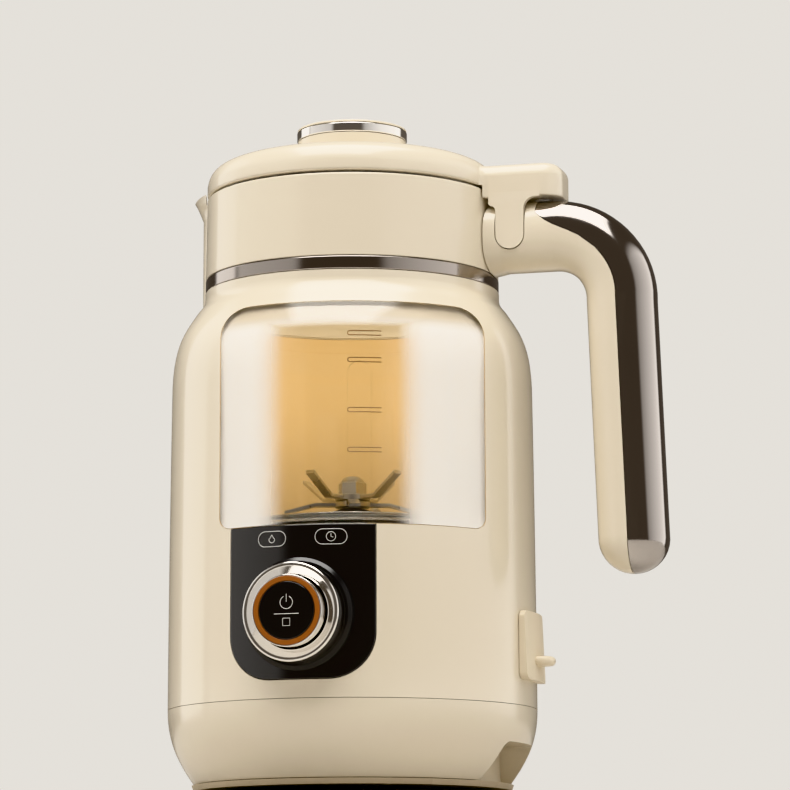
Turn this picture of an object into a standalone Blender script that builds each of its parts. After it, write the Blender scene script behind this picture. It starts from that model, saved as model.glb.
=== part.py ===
"""A countertop soy milk maker, built piece by piece as it would come apart on a bench.

The product stands on the plane Z = 0. Its control panel faces -Y, its handle reaches
toward +X and its pouring lip points toward -X. All lengths are in metres.
"""

import math

import bmesh
import bpy

# How finely round forms are divided
LARGE_STEPS = 32
MIDDLE_STEPS = 24
SMALL_STEPS = 16
TINY_STEPS = 8
CORNER_STEPS = 3
CURVE_STEPS = 6
SHARP_ANGLE = math.radians(35)

# Clearances shared by every fit
FIT_GAP = 0.0003
RUNNING_GAP = 0.0004
OVERRUN = 0.002
WELD = 0.000001

# Directions round the product, counted from the front toward the handle
FRONT = 0.0
QUARTER_TURN = math.radians(90)
REAR = math.radians(180)
HANDLE_SIDE = QUARTER_TURN
SPOUT_SIDE = -QUARTER_TURN
WINDOW_DIRECTION = math.radians(16.5)
TURN_TO_FRONT = (QUARTER_TURN, 0, 0)

# Housing
BODY_RADIUS = 0.0780
BODY_WALL = 0.0026
SHOULDER_INSET = 0.0011
SHOULDER_STEP = 0.0157
SKIRT_INSET = 0.0112
BASE_HEIGHT = 0.0307
SIDE_HEIGHT = 0.1328
SHOULDER_HEIGHT = 0.0425
NECK_HEIGHT = 0.0027
SEAM_GROOVE = 0.0006
LIP_WALL = 0.0016
LIP_HEIGHT = 0.0030
SKIRT_SHARES = ((0, 0), (0.51, 0.27), (1, 0.55), (1, 1))
SIDE_SHARES = ((0, 0), (0.10, 0.33), (0.45, 0.66), (1, 1))
SHOULDER_SHARES = ((0, 0), (0, 0.50), (0.32, 0.635), (0.68, 0.81))
NECK_SHARES = ((0.68, 0.81), (0.81, 0.88), (0.99, 0.91), (1, 1))

# Bottom cover, feet and their screws
FOOT_LIFT = 0.0012
FOOT_RADIUS = 0.0070
FOOT_EDGE = 0.0005
FOOT_SEAT = 0.0009
FOOT_INSET = 0.0148
FOOT_COUNT = 4
FOOT_DIRECTION = math.radians(45)
COVER_THICKNESS = 0.0024
COVER_PROUD = 0.0011
COVER_DRAFT = 0.0008
VENT_COUNT = 12
VENT_WIDTH = 0.0022
VENT_START = 0.0200
VENT_END = 0.0400
SCREW_COUNT = 3
SCREW_INSET = 0.0048
SCREW_RADIUS = 0.0014
SCREW_HEAD_RADIUS = 0.0028
SCREW_HEAD_HEIGHT = 0.0011
SCREW_LENGTH = 0.0080
SCREW_POST_RADIUS = 0.0032
SCREW_POST_HEIGHT = 0.0100
FLANGE_WIDTH = 0.0068

# Cable bay in the base, under the handle
BAY_TOP_WIDTH = 0.0440
BAY_BOTTOM_WIDTH = 0.0520
BAY_HEIGHT = 0.0160
BAY_CORNER = 0.0045
BAY_DEPTH = 0.0088

# Chrome band, collar and pouring lip
BAND_PROUD = 0.0006
BAND_HEIGHT = 0.0055
BAND_EDGE = 0.0004
NECK_PROUD = 0.0007
COLLAR_FLARE = 0.0005
COLLAR_HEIGHT = 0.0353
COLLAR_WALL = 0.0037
COLLAR_EDGE = 0.0008
COLLAR_SKIRT = 0.0140
COLLAR_SKIRT_WALL = 0.0015
POUR_GAP_WIDTH = 0.0240
POUR_GAP_DEPTH = 0.0075
SPOUT_PROUD = 0.0091
SPOUT_RIDGE_PROUD = 0.0045
SPOUT_RIM_LIFT = 0.0031
SPOUT_BEAK_HEIGHT = 0.0095
SPOUT_FOOT_DROP = 0.0105
SPOUT_WALL = 0.0013
SPOUT_TOP_ANGLE = math.radians(17)
SPOUT_RIDGE_ANGLE = math.radians(10)
SPOUT_RIDGE_ROUNDNESS = 2.0
SPOUT_POINT_ROUNDNESS = 1.0
GROOVE_SHARES = (0, 0.5, 1.3)
GROOVE_FLARE_SHARE = 0.8
GROOVE_ANGLE_INSET = math.radians(1.5)

# Viewing window
WINDOW_INSET = 0.0235
WINDOW_RISE = 0.0705
WINDOW_TOP_DROP = 0.0120
WINDOW_BOTTOM_CORNER = 0.0045
WINDOW_TOP_CORNER = 0.0120
WINDOW_CUT_DEPTH = 0.0480

# Control panel
PANEL_WIDTH = 0.0616
PANEL_RISE = 0.0076
PANEL_CORNER = 0.0185
PANEL_THICKNESS = 0.0022
PANEL_PROUD = 0.0002
PANEL_CUT_DEPTH = 0.0280
PANEL_BOSS_RADIUS = 0.0025
PANEL_BOSS_SPREAD = 0.0360

# Control knob, measured outward from the front of the body
KNOB_RISE = 0.0262
KNOB_WALL = 0.0050
KNOB_RIM = 0.0110
KNOB_BASE_LIFT = 0.0021
KNOB_FLARE = 0.0004
KNOB_LIP = 0.0016
KNOB_LIP_SHARE = 0.3
KNOB_DISH_WIDTH = 0.0008
KNOB_DISH_DEPTH = 0.0022
KNOB_PLAY = 0.0006
KNOB_TUBE_WALL = 0.0016
KNOB_TUBE_END = 0.0075
BEZEL_WIDTH = 0.0028
BEZEL_LIFT = 0.0018
BEZEL_EDGE = 0.0008
BEZEL_DEPTH_SHARE = 0.25
BUTTON_RADIUS = 0.0146
BUTTON_FACE = 0.0160
BUTTON_SKIRT = 0.0065
BUTTON_FLOOR = 0.0020
BUTTON_EDGE = 0.0004
BUTTON_STEM_RADIUS = 0.0035
BUTTON_STEM_END = 0.0068
LIGHT_WIDTH = 0.0023
LIGHT_DEPTH = 0.0011
ENCODER_MARGIN = 0.0023
ENCODER_HEIGHT = 0.0025
BOARD_WIDTH = 0.0520
BOARD_HEIGHT = 0.0500
BOARD_THICKNESS = 0.0016
BOARD_DEPTH = 0.0120

# Mains inlet and its cover
INLET_RISE = 0.0248
INLET_WIDTH = 0.0280
INLET_TALL = 0.0220
INLET_INSET = 0.0018
INLET_LENGTH = 0.0240
INLET_CORNER = 0.0030
RECESS_WIDTH = 0.0236
RECESS_TALL = 0.0166
RECESS_DEPTH = 0.0180
PIN_LENGTH = 0.0125
PIN_WIDTH = 0.0040
PIN_TALL = 0.0020
PIN_SPACING = 0.0070
PIN_OFFSET = 0.0020
FLAP_WIDTH = 0.0320
FLAP_TALL = 0.0286
FLAP_CORNER = 0.0030
FLAP_THICKNESS = 0.0034
FLAP_DRAFT = 0.0012
FLAP_BEVEL = 0.0010
FLAP_HINGE_DROP = 0.0006
TAB_WIDTH = 0.0120
TAB_CORNER = 0.0055
TAB_THICKNESS = 0.0038
TAB_PROUD = 0.0100
TAB_DROP = 0.0059

# Handle
HANDLE_PROUD = 0.0748
HANDLE_DEPTH = 0.0295
HANDLE_WIDTH = 0.0264
HANDLE_DROP = 0.1448
HANDLE_ARM_RISE = 0.0150
HANDLE_ARM_LENGTH = 0.0277
HANDLE_BEND_RADIUS = 0.0285
HANDLE_ROOT_SINK = 0.0043
HANDLE_ROOT_LENGTH = 0.0067
HANDLE_ROOT_GROWTH = 0.0016
HANDLE_ROOT_DROP = 0.0013
HANDLE_ROOT_SHARES = (1, 0.25)
HANDLE_WALL = 0.0026
HANDLE_SQUARENESS = 2.5
HANDLE_SIDES = 16
HANDLE_END_TURN = math.radians(84)
HANDLE_CORE_PLACE = 0.0237
TRIM_PLACE = 0.0217
TRIM_START_RISE = 0.0085
TRIM_SHARES = ((0, 1), (0.12, 0.60), (0.30, 0.25), (0.55, 0.08), (1, 0))
HANDLE_SCREW_DROPS = (0.0098, 0.0008)
HANDLE_SCREW_LENGTH = 0.0150

# Lid
LID_WALL = 0.0024
LID_RISE = 0.0174
LID_CHAMFER = 0.0016
LID_SIDE = 0.0045
LID_SEAT_MARGIN = 0.0015
LID_DOME_SHARES = ((0, 0), (0.03, 0.60), (0.15, 0.72), (0.45, 0.86))
LID_CROWN_SHARES = ((0.45, 0.86), (0.70, 0.97), (0.85, 1), (1, 1))
TAB_TOP_RISE = 0.0087
LID_TAB_PROUD = 0.0322
TAB_CLEARANCE = 0.0010
TAB_END_CORNER = 0.0090
EAR_PLACE = 0.0107
EAR_WIDTH = 0.0122
EAR_DROP = 0.0066
EAR_THICKNESS = 0.0026
MAGNET_OUTSET = 0.0227
MAGNET_RADIUS = 0.0035
MAGNET_HEIGHT = 0.0025
MAGNET_POCKET = 0.0032
LINER_MARGIN = 0.0006
LINER_WALL = 0.0018
LINER_PLUG_MARGIN = 0.0021
LINER_PLUG_DEPTH = 0.0069
LINER_PLUG_GROOVE = 0.0010
GASKET_HEIGHT = 0.0030

# Lid knob
GRIP_RADIUS = 0.0235
GRIP_HEIGHT = 0.0075
GRIP_EDGE = 0.0007
GRIP_RING_PROUD = 0.0002
GRIP_RING_HEIGHT = 0.0039
GRIP_RING_WALL = 0.0012
GRIP_CAP_HEIGHT = 0.0009
GRIP_SPIGOT_RADIUS = 0.0080
GRIP_BARB = 0.0010
GRIP_BARB_HEIGHT = 0.0030

# Inner jar and what seals it
JAR_MARGIN = 0.0026
JAR_WALL = 0.0024
JAR_FLOOR = 0.0030
JAR_CORNER = 0.0040
JAR_FLOOR_WIDTH = 0.0160
JAR_LIP_WIDTH = 0.0020
JAR_LIP_HEIGHT = 0.0026
JAR_TOP_DROP = 0.0080
RIB_COUNT = 3
RIB_WIDTH = 0.0106
RIB_DEPTH = 0.0030
RIB_RISE = 0.0207
RIB_TOP_DROP = 0.0050
RIB_FIRST = math.radians(-47)

# Heating plate and inner frame
GASKET_THICKNESS = 0.0012
PLATE_LAP = 0.0070
PLATE_THICKNESS = 0.0019
PLATE_HUB_RADIUS = 0.0130
PLATE_HUB_HEIGHT = 0.0040
PLATE_BOSS_DEPTH = 0.0060
CLAMP_WIDTH = 0.0120
CLAMP_HEIGHT = 0.0050
FRAME_THICKNESS = 0.0030
FRAME_RING_WALL = 0.0030
FRAME_RING_HEIGHT = 0.0147
FRAME_BORE_MARGIN = 0.0160
FRAME_FRONT_INSET = 0.0180
LEDGE_WIDTH = 0.0140
LEDGE_TALL = 0.0070
LEDGE_DEPTH = 0.0080
LEDGE_COUNT = 3
LEDGE_FIRST = math.radians(60)
SLEEVE_MARGIN = 0.0100
SLEEVE_WALL = 0.0014
SLEEVE_TOP_DROP = 0.0145
PROBE_RADIUS = 0.0025
PROBE_INSET = 0.0048
PROBE_HEIGHT = 0.0120
PROBE_TIP_SHARES = (0.7, 0.3)

# Drive train
SHAFT_RADIUS = 0.0040
FAN_CLEARANCE = 0.0039
SHAFT_RISE = 0.0150
BUSHING_RADIUS = 0.0090
BUSHING_FLANGE = 0.0110
BUSHING_FLANGE_HEIGHT = 0.0024
SEAL_RADIUS = 0.0085
SEAL_HEIGHT = 0.0026
BLADE_HUB_RADIUS = 0.0075
BLADE_THICKNESS = 0.0014
BLADE_HUB_HEIGHT = 0.0026
BLADE_ROOT_WIDTH = 0.0100
BLADE_TIP_WIDTH = 0.0045
BLADE_CLEARANCE = 0.0037
LOWER_BLADE_BEND = -0.0035
UPPER_BLADE_STEP = 0.0030
UPPER_BLADE_BEND = 0.0090
BLADE_KNEE_SHARE = 0.55
BLADE_EDGE_SHARE = 0.25
LOWER_BLADE_TURN = math.radians(20)
UPPER_BLADE_TURN = math.radians(65)
NUT_RADIUS = 0.0062
NUT_HEIGHT = 0.0052
NUT_DOME = 0.0020
FAN_HUB_RADIUS = 0.0080
FAN_MARGIN = 0.0060
FAN_HEIGHT = 0.0080
FAN_DISC = 0.0014
FAN_BLADES = 7
FAN_BLADE_THICKNESS = 0.0013
MOTOR_MARGIN = 0.0420
MOTOR_WALL = 0.0018
FAN_SPACE = 0.0085
MOTOR_LENGTH = 0.0480
MOTOR_COLLAR_RADIUS = 0.0090
BELL_THICKNESS = 0.0020
STATOR_MARGIN = 0.0160
STATOR_LIFT = 0.0070
ROTOR_SHARE = 0.5
ROTOR_STEP = 0.0020
AIR_GAP = 0.0006
MOUNT_RADIUS = 0.0045
MOUNT_INSET = 0.0080
MOUNT_COUNT = 3
MOUNT_HEIGHT = 0.0120
POWER_BOARD_WIDTH = 0.0560
POWER_BOARD_TALL = 0.0500
POWER_BOARD_INSET = 0.0260
CAPACITOR_RADIUS = 0.0065
CAPACITOR_LENGTH = 0.0100
CAPACITOR_SHARES = (-0.3, 0, 0.3)
REED_LENGTH = 0.0080
REED_WIDTH = 0.0044
REED_HEIGHT = 0.0028
REED_OUTSET = 0.0242
REED_DROP = 0.0009

# Radii and places worked out from the sizes above
SHOULDER_RADIUS = BODY_RADIUS - SHOULDER_INSET
COLLAR_RADIUS = BODY_RADIUS - SHOULDER_STEP
NECK_RADIUS = COLLAR_RADIUS + NECK_PROUD
SKIRT_RADIUS = BODY_RADIUS - SKIRT_INSET
COVER_RADIUS = SKIRT_RADIUS + COVER_PROUD
FOOT_PLACE = SKIRT_RADIUS - FOOT_INSET
SCREW_PLACE = SKIRT_RADIUS - SCREW_INSET
FLANGE_RADIUS = SKIRT_RADIUS - FLANGE_WIDTH
BAY_BACK = SKIRT_RADIUS - BAY_DEPTH
BAND_RADIUS = COLLAR_RADIUS + BAND_PROUD
COLLAR_BORE = COLLAR_RADIUS - COLLAR_WALL
COLLAR_FOOT_RADIUS = COLLAR_RADIUS + COLLAR_FLARE
SPOUT_REACH = COLLAR_RADIUS + SPOUT_PROUD
SPOUT_RIDGE = COLLAR_RADIUS + SPOUT_RIDGE_PROUD
WINDOW_WIDTH = (BODY_RADIUS - WINDOW_INSET) * 2
WINDOW_CUT_START = BODY_RADIUS - WINDOW_CUT_DEPTH
PANEL_CUT_START = BODY_RADIUS - PANEL_CUT_DEPTH
KNOB_BORE = BUTTON_RADIUS + KNOB_PLAY
KNOB_RADIUS = KNOB_BORE + KNOB_WALL
KNOB_DISH_RADIUS = KNOB_BORE + KNOB_DISH_WIDTH
KNOB_TUBE_RADIUS = KNOB_BORE - RUNNING_GAP
BEZEL_RADIUS = KNOB_RADIUS + BEZEL_WIDTH
LIGHT_OUTER = BUTTON_RADIUS - BUTTON_EDGE
LIGHT_INNER = LIGHT_OUTER - LIGHT_WIDTH
ENCODER_RADIUS = KNOB_BORE + ENCODER_MARGIN
INLET_FRONT = BODY_RADIUS - INLET_INSET
TAB_REACH = BODY_RADIUS + TAB_PROUD
HANDLE_REACH = COLLAR_RADIUS + HANDLE_PROUD
HANDLE_BEND_START = COLLAR_RADIUS + HANDLE_ARM_LENGTH
HANDLE_ROOT_START = COLLAR_RADIUS - HANDLE_ROOT_SINK
HANDLE_ROOT_END = COLLAR_RADIUS + HANDLE_ROOT_LENGTH
HANDLE_CORE_START = COLLAR_RADIUS + HANDLE_CORE_PLACE
TRIM_START = COLLAR_RADIUS + TRIM_PLACE
REED_PLACE = COLLAR_RADIUS + REED_OUTSET
LID_RADIUS = COLLAR_RADIUS
LID_SEAT_RADIUS = GRIP_RADIUS + LID_SEAT_MARGIN
TAB_LENGTH = COLLAR_RADIUS + LID_TAB_PROUD
EAR_CENTRE = COLLAR_RADIUS + EAR_PLACE
MAGNET_PLACE = COLLAR_RADIUS + MAGNET_OUTSET
GRIP_RING_RADIUS = GRIP_RADIUS + GRIP_RING_PROUD
JAR_RADIUS = COLLAR_BORE - JAR_MARGIN
JAR_BORE = JAR_RADIUS - JAR_WALL
JAR_LIP_RADIUS = JAR_RADIUS + JAR_LIP_WIDTH
JAR_HOLE = JAR_RADIUS - JAR_FLOOR_WIDTH
LINER_RADIUS = COLLAR_BORE - LINER_MARGIN
LINER_PLUG_RADIUS = JAR_BORE - LINER_PLUG_MARGIN
PLATE_RADIUS = JAR_HOLE + PLATE_LAP
PLATE_BORE = BUSHING_RADIUS + FIT_GAP
CLAMP_RADIUS = JAR_HOLE + CLAMP_WIDTH
PROBE_PLACE = JAR_HOLE - PROBE_INSET
SLEEVE_RADIUS = JAR_RADIUS + SLEEVE_MARGIN
LOWER_BLADE_SPAN = PROBE_PLACE - PROBE_RADIUS - BLADE_CLEARANCE
UPPER_BLADE_SPAN = LOWER_BLADE_SPAN - UPPER_BLADE_STEP
MOTOR_RADIUS = BODY_RADIUS - MOTOR_MARGIN
ROTOR_RADIUS = MOTOR_RADIUS * ROTOR_SHARE
FAN_RADIUS = MOTOR_RADIUS - FAN_MARGIN
MOUNT_PLACE = MOTOR_RADIUS - MOUNT_INSET
FRAME_BORE = MOTOR_RADIUS - FRAME_BORE_MARGIN
FRAME_FRONT = BODY_RADIUS - FRAME_FRONT_INSET
LEDGE_START = BODY_RADIUS - LEDGE_DEPTH
POWER_BOARD_PLACE = BODY_RADIUS - POWER_BOARD_INSET

# Levels worked out from the sizes above
COVER_BOTTOM = FOOT_LIFT
COVER_TOP = COVER_BOTTOM + COVER_THICKNESS
BASE_BOTTOM = COVER_TOP + FIT_GAP
BASE_TOP = BASE_BOTTOM + BASE_HEIGHT
BODY_BOTTOM = BASE_TOP + SEAM_GROOVE
SHOULDER_BOTTOM = BODY_BOTTOM + SIDE_HEIGHT
SHOULDER_TOP = SHOULDER_BOTTOM + SHOULDER_HEIGHT
BODY_TOP = SHOULDER_TOP + NECK_HEIGHT
WINDOW_BOTTOM = BODY_BOTTOM + WINDOW_RISE
WINDOW_TOP = SHOULDER_TOP - WINDOW_TOP_DROP
PANEL_BOTTOM = BODY_BOTTOM + PANEL_RISE
PANEL_TOP = WINDOW_BOTTOM - FIT_GAP
KNOB_HEIGHT = PANEL_BOTTOM + KNOB_RISE
INLET_HEIGHT = BODY_BOTTOM + INLET_RISE
TAB_HEIGHT = INLET_HEIGHT - TAB_DROP
BAND_BOTTOM = BODY_TOP + FIT_GAP
BAND_TOP = BAND_BOTTOM + BAND_HEIGHT
COLLAR_BOTTOM = BAND_TOP + FIT_GAP
COLLAR_TOP = COLLAR_BOTTOM + COLLAR_HEIGHT
LID_BOTTOM = COLLAR_TOP + SEAM_GROOVE
LID_TOP = LID_BOTTOM + LID_RISE
GRIP_BOTTOM = LID_TOP + FIT_GAP
GRIP_TOP = GRIP_BOTTOM + GRIP_HEIGHT
GRIP_RING_BOTTOM = GRIP_TOP + FIT_GAP
GRIP_RING_TOP = GRIP_RING_BOTTOM + GRIP_RING_HEIGHT
GRIP_CAP_BOTTOM = GRIP_RING_TOP + FIT_GAP
HANDLE_ARM_HEIGHT = COLLAR_BOTTOM + HANDLE_ARM_RISE
HANDLE_BOTTOM = HANDLE_ARM_HEIGHT - HANDLE_DROP
HANDLE_SCREW_HEIGHTS = [HANDLE_ARM_HEIGHT - drop for drop in HANDLE_SCREW_DROPS]
EAR_BOTTOM = HANDLE_ARM_HEIGHT - EAR_DROP
TAB_BOTTOM = HANDLE_ARM_HEIGHT + HANDLE_DEPTH / 2 + TAB_CLEARANCE
TAB_TOP = LID_BOTTOM + TAB_TOP_RISE
SHAFT_BOTTOM = COVER_TOP + FAN_CLEARANCE
MOTOR_BOTTOM = SHAFT_BOTTOM + FAN_HEIGHT + FAN_SPACE
MOTOR_TOP = MOTOR_BOTTOM + MOTOR_LENGTH
STATOR_BOTTOM = MOTOR_BOTTOM + STATOR_LIFT
STATOR_HEIGHT = MOTOR_LENGTH - STATOR_MARGIN
ROTOR_HEIGHT = STATOR_HEIGHT - ROTOR_STEP
FRAME_HEIGHT = MOTOR_TOP + MOUNT_HEIGHT
FRAME_TOP = FRAME_HEIGHT + FRAME_THICKNESS
FRAME_RING_TOP = FRAME_TOP + FRAME_RING_HEIGHT
CLAMP_BOTTOM = FRAME_RING_TOP + FIT_GAP
CLAMP_TOP = CLAMP_BOTTOM + CLAMP_HEIGHT
BOSS_BOTTOM = CLAMP_BOTTOM - PLATE_BOSS_DEPTH
JAR_BOTTOM = CLAMP_TOP + FIT_GAP
JAR_FLOOR_TOP = JAR_BOTTOM + JAR_FLOOR
JAR_TOP = COLLAR_TOP - JAR_TOP_DROP
JAR_LIP_BOTTOM = JAR_TOP - JAR_LIP_HEIGHT
RIB_BOTTOM = JAR_BOTTOM + RIB_RISE
RIB_TOP = WINDOW_TOP - RIB_TOP_DROP
SLEEVE_TOP = SHOULDER_TOP - SLEEVE_TOP_DROP
PLATE_BOTTOM = JAR_FLOOR_TOP + GASKET_THICKNESS + FIT_GAP + FIT_GAP
PLATE_TOP = PLATE_BOTTOM + PLATE_THICKNESS
HUB_TOP = PLATE_TOP + PLATE_HUB_HEIGHT
SHAFT_TOP = HUB_TOP + SHAFT_RISE
PRODUCT_PLACE = ((BODY_RADIUS - HANDLE_REACH) / 2, BUTTON_FACE / 2, 0)


def clear_scene():
    """Remove whatever the scene holds, so that each run starts from nothing."""
    for piece in list(bpy.data.objects):
        bpy.data.objects.remove(piece, do_unlink=True)


def new_look(name, colour, roughness, metallic=0.0, transmission=0.0):
    """A plain material with a part's own colour and shine."""
    look = bpy.data.materials.new(name)
    look.use_nodes = True
    shader = look.node_tree.nodes["Principled BSDF"]
    shader.inputs["Base Color"].default_value = (*colour, 1)
    shader.inputs["Roughness"].default_value = roughness
    shader.inputs["Metallic"].default_value = metallic
    shader.inputs["Transmission Weight"].default_value = transmission
    look.diffuse_color = (*colour, 1)
    return look


def new_anchor(name, place, turn=(0, 0, 0), parent=None):
    """An empty that carries pieces, such as those that move about one axis."""
    anchor = bpy.data.objects.new(name, None)
    bpy.context.scene.collection.objects.link(anchor)
    anchor.location = place
    anchor.rotation_euler = turn
    anchor.parent = parent
    return anchor


def new_piece(name, shape, look, parent, place=(0, 0, 0), turn=(0, 0, 0)):
    """Turn a modelled shape into an object. Without a look, it is a cutter."""
    bmesh.ops.remove_doubles(shape, verts=shape.verts, dist=WELD)
    bmesh.ops.recalc_face_normals(shape, faces=shape.faces)
    mesh = bpy.data.meshes.new(name)
    shape.to_mesh(mesh)
    shape.free()
    mesh.shade_smooth()
    mesh.set_sharp_from_angle(angle=SHARP_ANGLE)
    piece = bpy.data.objects.new(name, mesh)
    bpy.context.scene.collection.objects.link(piece)
    piece.location = place
    piece.rotation_euler = turn
    piece.parent = parent
    if look:
        mesh.materials.append(look)
    else:
        piece.hide_render = True
        piece.display_type = "WIRE"
    return piece


def combine(piece, tool, operation):
    """Add a live Boolean to a piece."""
    step = piece.modifiers.new(operation.title() + " " + tool.name, "BOOLEAN")
    step.operation = operation
    step.solver = "EXACT"
    step.object = tool


def cut(piece, *tools):
    for tool in tools:
        combine(piece, tool, "DIFFERENCE")


def join(piece, *tools):
    for tool in tools:
        combine(piece, tool, "UNION")


def keep(piece, tool):
    combine(piece, tool, "INTERSECT")


def curve(start, end, shares, steps=CURVE_STEPS):
    """Points of a Bezier curve whose handles are shares of the way from start to end."""
    points = []
    for step in range(steps + 1):
        t = step / steps
        weights = ((1 - t) ** 3, 3 * t * (1 - t) ** 2, 3 * t * t * (1 - t), t**3)
        across = sum(weight * share[0] for weight, share in zip(weights, shares))
        along = sum(weight * share[1] for weight, share in zip(weights, shares))
        points.append((start[0] + (end[0] - start[0]) * across, start[1] + (end[1] - start[1]) * along))
    return points


def beside(line, distance):
    """The same line moved to its left by a distance."""
    moved = []
    for index, (across, up) in enumerate(line):
        before = line[max(index - 1, 0)]
        after = line[min(index + 1, len(line) - 1)]
        run = after[0] - before[0]
        rise = after[1] - before[1]
        length = math.hypot(run, rise)
        moved.append((across - rise / length * distance, up + run / length * distance))
    return moved


def radius_at(line, height):
    """The radius of a rising profile line at one height."""
    for (low_radius, low), (high_radius, high) in zip(line, line[1:]):
        if low <= height <= high:
            return low_radius + (high_radius - low_radius) * (height - low) / (high - low)
    return line[0][0] if height < line[0][1] else line[-1][0]


def rounded(corners):
    """An outline whose corners, given as across, up and radius, become arcs."""
    points = []
    for index, (across, up, radius) in enumerate(corners):
        if radius == 0:
            points.append((across, up))
            continue
        before = corners[index - 1]
        after = corners[(index + 1) % len(corners)]
        into = math.atan2(before[1] - up, before[0] - across)
        away = math.atan2(after[1] - up, after[0] - across)
        half = (away - into + math.pi) % math.tau / 2 - math.pi / 2
        reach = radius / abs(math.tan(half))
        first = (across + reach * math.cos(into), up + reach * math.sin(into))
        last = (across + reach * math.cos(away), up + reach * math.sin(away))
        middle = into + half
        deep = radius / abs(math.sin(half))
        centre = (across + deep * math.cos(middle), up + deep * math.sin(middle))
        start = math.atan2(first[1] - centre[1], first[0] - centre[0])
        sweep = math.atan2(last[1] - centre[1], last[0] - centre[0]) - start
        sweep = (sweep + math.pi) % math.tau - math.pi
        for step in range(CORNER_STEPS + 1):
            angle = start + sweep * step / CORNER_STEPS
            points.append((centre[0] + radius * math.cos(angle), centre[1] + radius * math.sin(angle)))
    return points


def box_outline(width, low, high, low_corner=0, high_corner=0):
    """A rectangle centred across, with its own radius at its low and its high corners."""
    half = width / 2
    return rounded(
        [
            (-half, low, low_corner),
            (half, low, low_corner),
            (half, high, high_corner),
            (-half, high, high_corner),
        ]
    )


def circle_outline(radius, steps, centre=(0, 0)):
    turns = [math.tau * step / steps for step in range(steps)]
    return [(centre[0] + radius * math.cos(turn), centre[1] + radius * math.sin(turn)) for turn in turns]


def turned(name, outline, look, parent, steps=LARGE_STEPS, **spot):
    """A body of revolution from an outline of radius and height."""
    shape = bmesh.new()
    points = [shape.verts.new((radius, 0, height)) for radius, height in outline]
    is_ring = min(radius for radius, height in outline) > 0
    followers = points[1:] + points[:1] if is_ring else points[1:]
    lines = [shape.edges.new(pair) for pair in zip(points, followers)]
    bmesh.ops.spin(
        shape,
        geom=points + lines,
        axis=(0, 0, 1),
        angle=math.tau,
        steps=steps,
        use_merge=True,
    )
    return new_piece(name, shape, look, parent, **spot)


def tube_outline(inner, outer, low, high):
    return [(inner, low), (outer, low), (outer, high), (inner, high)]


def rod_outline(radius, low, high):
    return [(0, low), (radius, low), (radius, high), (0, high)]


def add_prism(shape, outline, low, high):
    """Extrude an outline from one height to another in a shape under way."""
    face = shape.faces.new([shape.verts.new((across, up, low)) for across, up in outline])
    grown = bmesh.ops.extrude_face_region(shape, geom=[face])
    raised = [item for item in grown["geom"] if isinstance(item, bmesh.types.BMVert)]
    bmesh.ops.translate(shape, vec=(0, 0, high - low), verts=raised)


def prism(name, outline, low, high, look, parent, **spot):
    """An outline extruded along its own Z."""
    shape = bmesh.new()
    add_prism(shape, outline, low, high)
    return new_piece(name, shape, look, parent, **spot)


def outward_prism(name, outline, direction, start, end, look, parent):
    """An outline of sideways and height, extruded away from the product's axis."""
    turn = (QUARTER_TURN, 0, direction)
    return prism(name, outline, start, end, look, parent, turn=turn)


def loft(name, rings, look, parent, **spot):
    """A skin over matching rings of points, closed at both ends."""
    shape = bmesh.new()
    loops = [[shape.verts.new(point) for point in ring] for ring in rings]
    for lower, upper in zip(loops, loops[1:]):
        for index in range(len(lower)):
            after = (index + 1) % len(lower)
            shape.faces.new((lower[index], lower[after], upper[after], upper[index]))
    shape.faces.new(loops[0])
    shape.faces.new(loops[-1])
    return new_piece(name, shape, look, parent, **spot)


def spread(count, radius, first=0.0):
    """Places spaced evenly on a circle."""
    turns = [first + math.tau * index / count for index in range(count)]
    return [(radius * math.sin(turn), -radius * math.cos(turn)) for turn in turns]


def rods(name, places, radius, low, high, parent, steps=TINY_STEPS):
    """A cutter made of upright rods."""
    shape = bmesh.new()
    for place in places:
        add_prism(shape, circle_outline(radius, steps, place), low, high)
    return new_piece(name, shape, None, parent)


def skirt_line():
    """The base's outer side, from its bottom edge up to the seam under the body."""
    return curve((SKIRT_RADIUS, BASE_BOTTOM), (BODY_RADIUS, BASE_TOP), SKIRT_SHARES, CORNER_STEPS + 1)


def body_line():
    """The body shell's outer side, from its bottom edge up to its neck."""
    low = (BODY_RADIUS, BODY_BOTTOM)
    shoulder = (SHOULDER_RADIUS, SHOULDER_BOTTOM)
    neck = (NECK_RADIUS, SHOULDER_TOP)
    side = curve(low, shoulder, SIDE_SHARES, CORNER_STEPS)
    bend = curve(shoulder, neck, SHOULDER_SHARES, CORNER_STEPS)
    blend = curve(shoulder, neck, NECK_SHARES, CORNER_STEPS)
    return side + bend[1:] + blend[1:] + [(NECK_RADIUS, BODY_TOP)]


def wall_outline(line, wall):
    """A wall of even thickness inside a rising outer line, with fewer points inside."""
    inner = beside(line, wall)
    return line + inner[:0:-2] + inner[:1]


def window_outline(gap=0.0):
    corners = (WINDOW_BOTTOM_CORNER + gap, WINDOW_TOP_CORNER + gap)
    return box_outline(WINDOW_WIDTH + gap + gap, WINDOW_BOTTOM - gap, WINDOW_TOP + gap, *corners)


def panel_outline(gap=0.0):
    return box_outline(PANEL_WIDTH + gap + gap, PANEL_BOTTOM - gap, PANEL_TOP + gap, PANEL_CORNER + gap)


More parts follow.
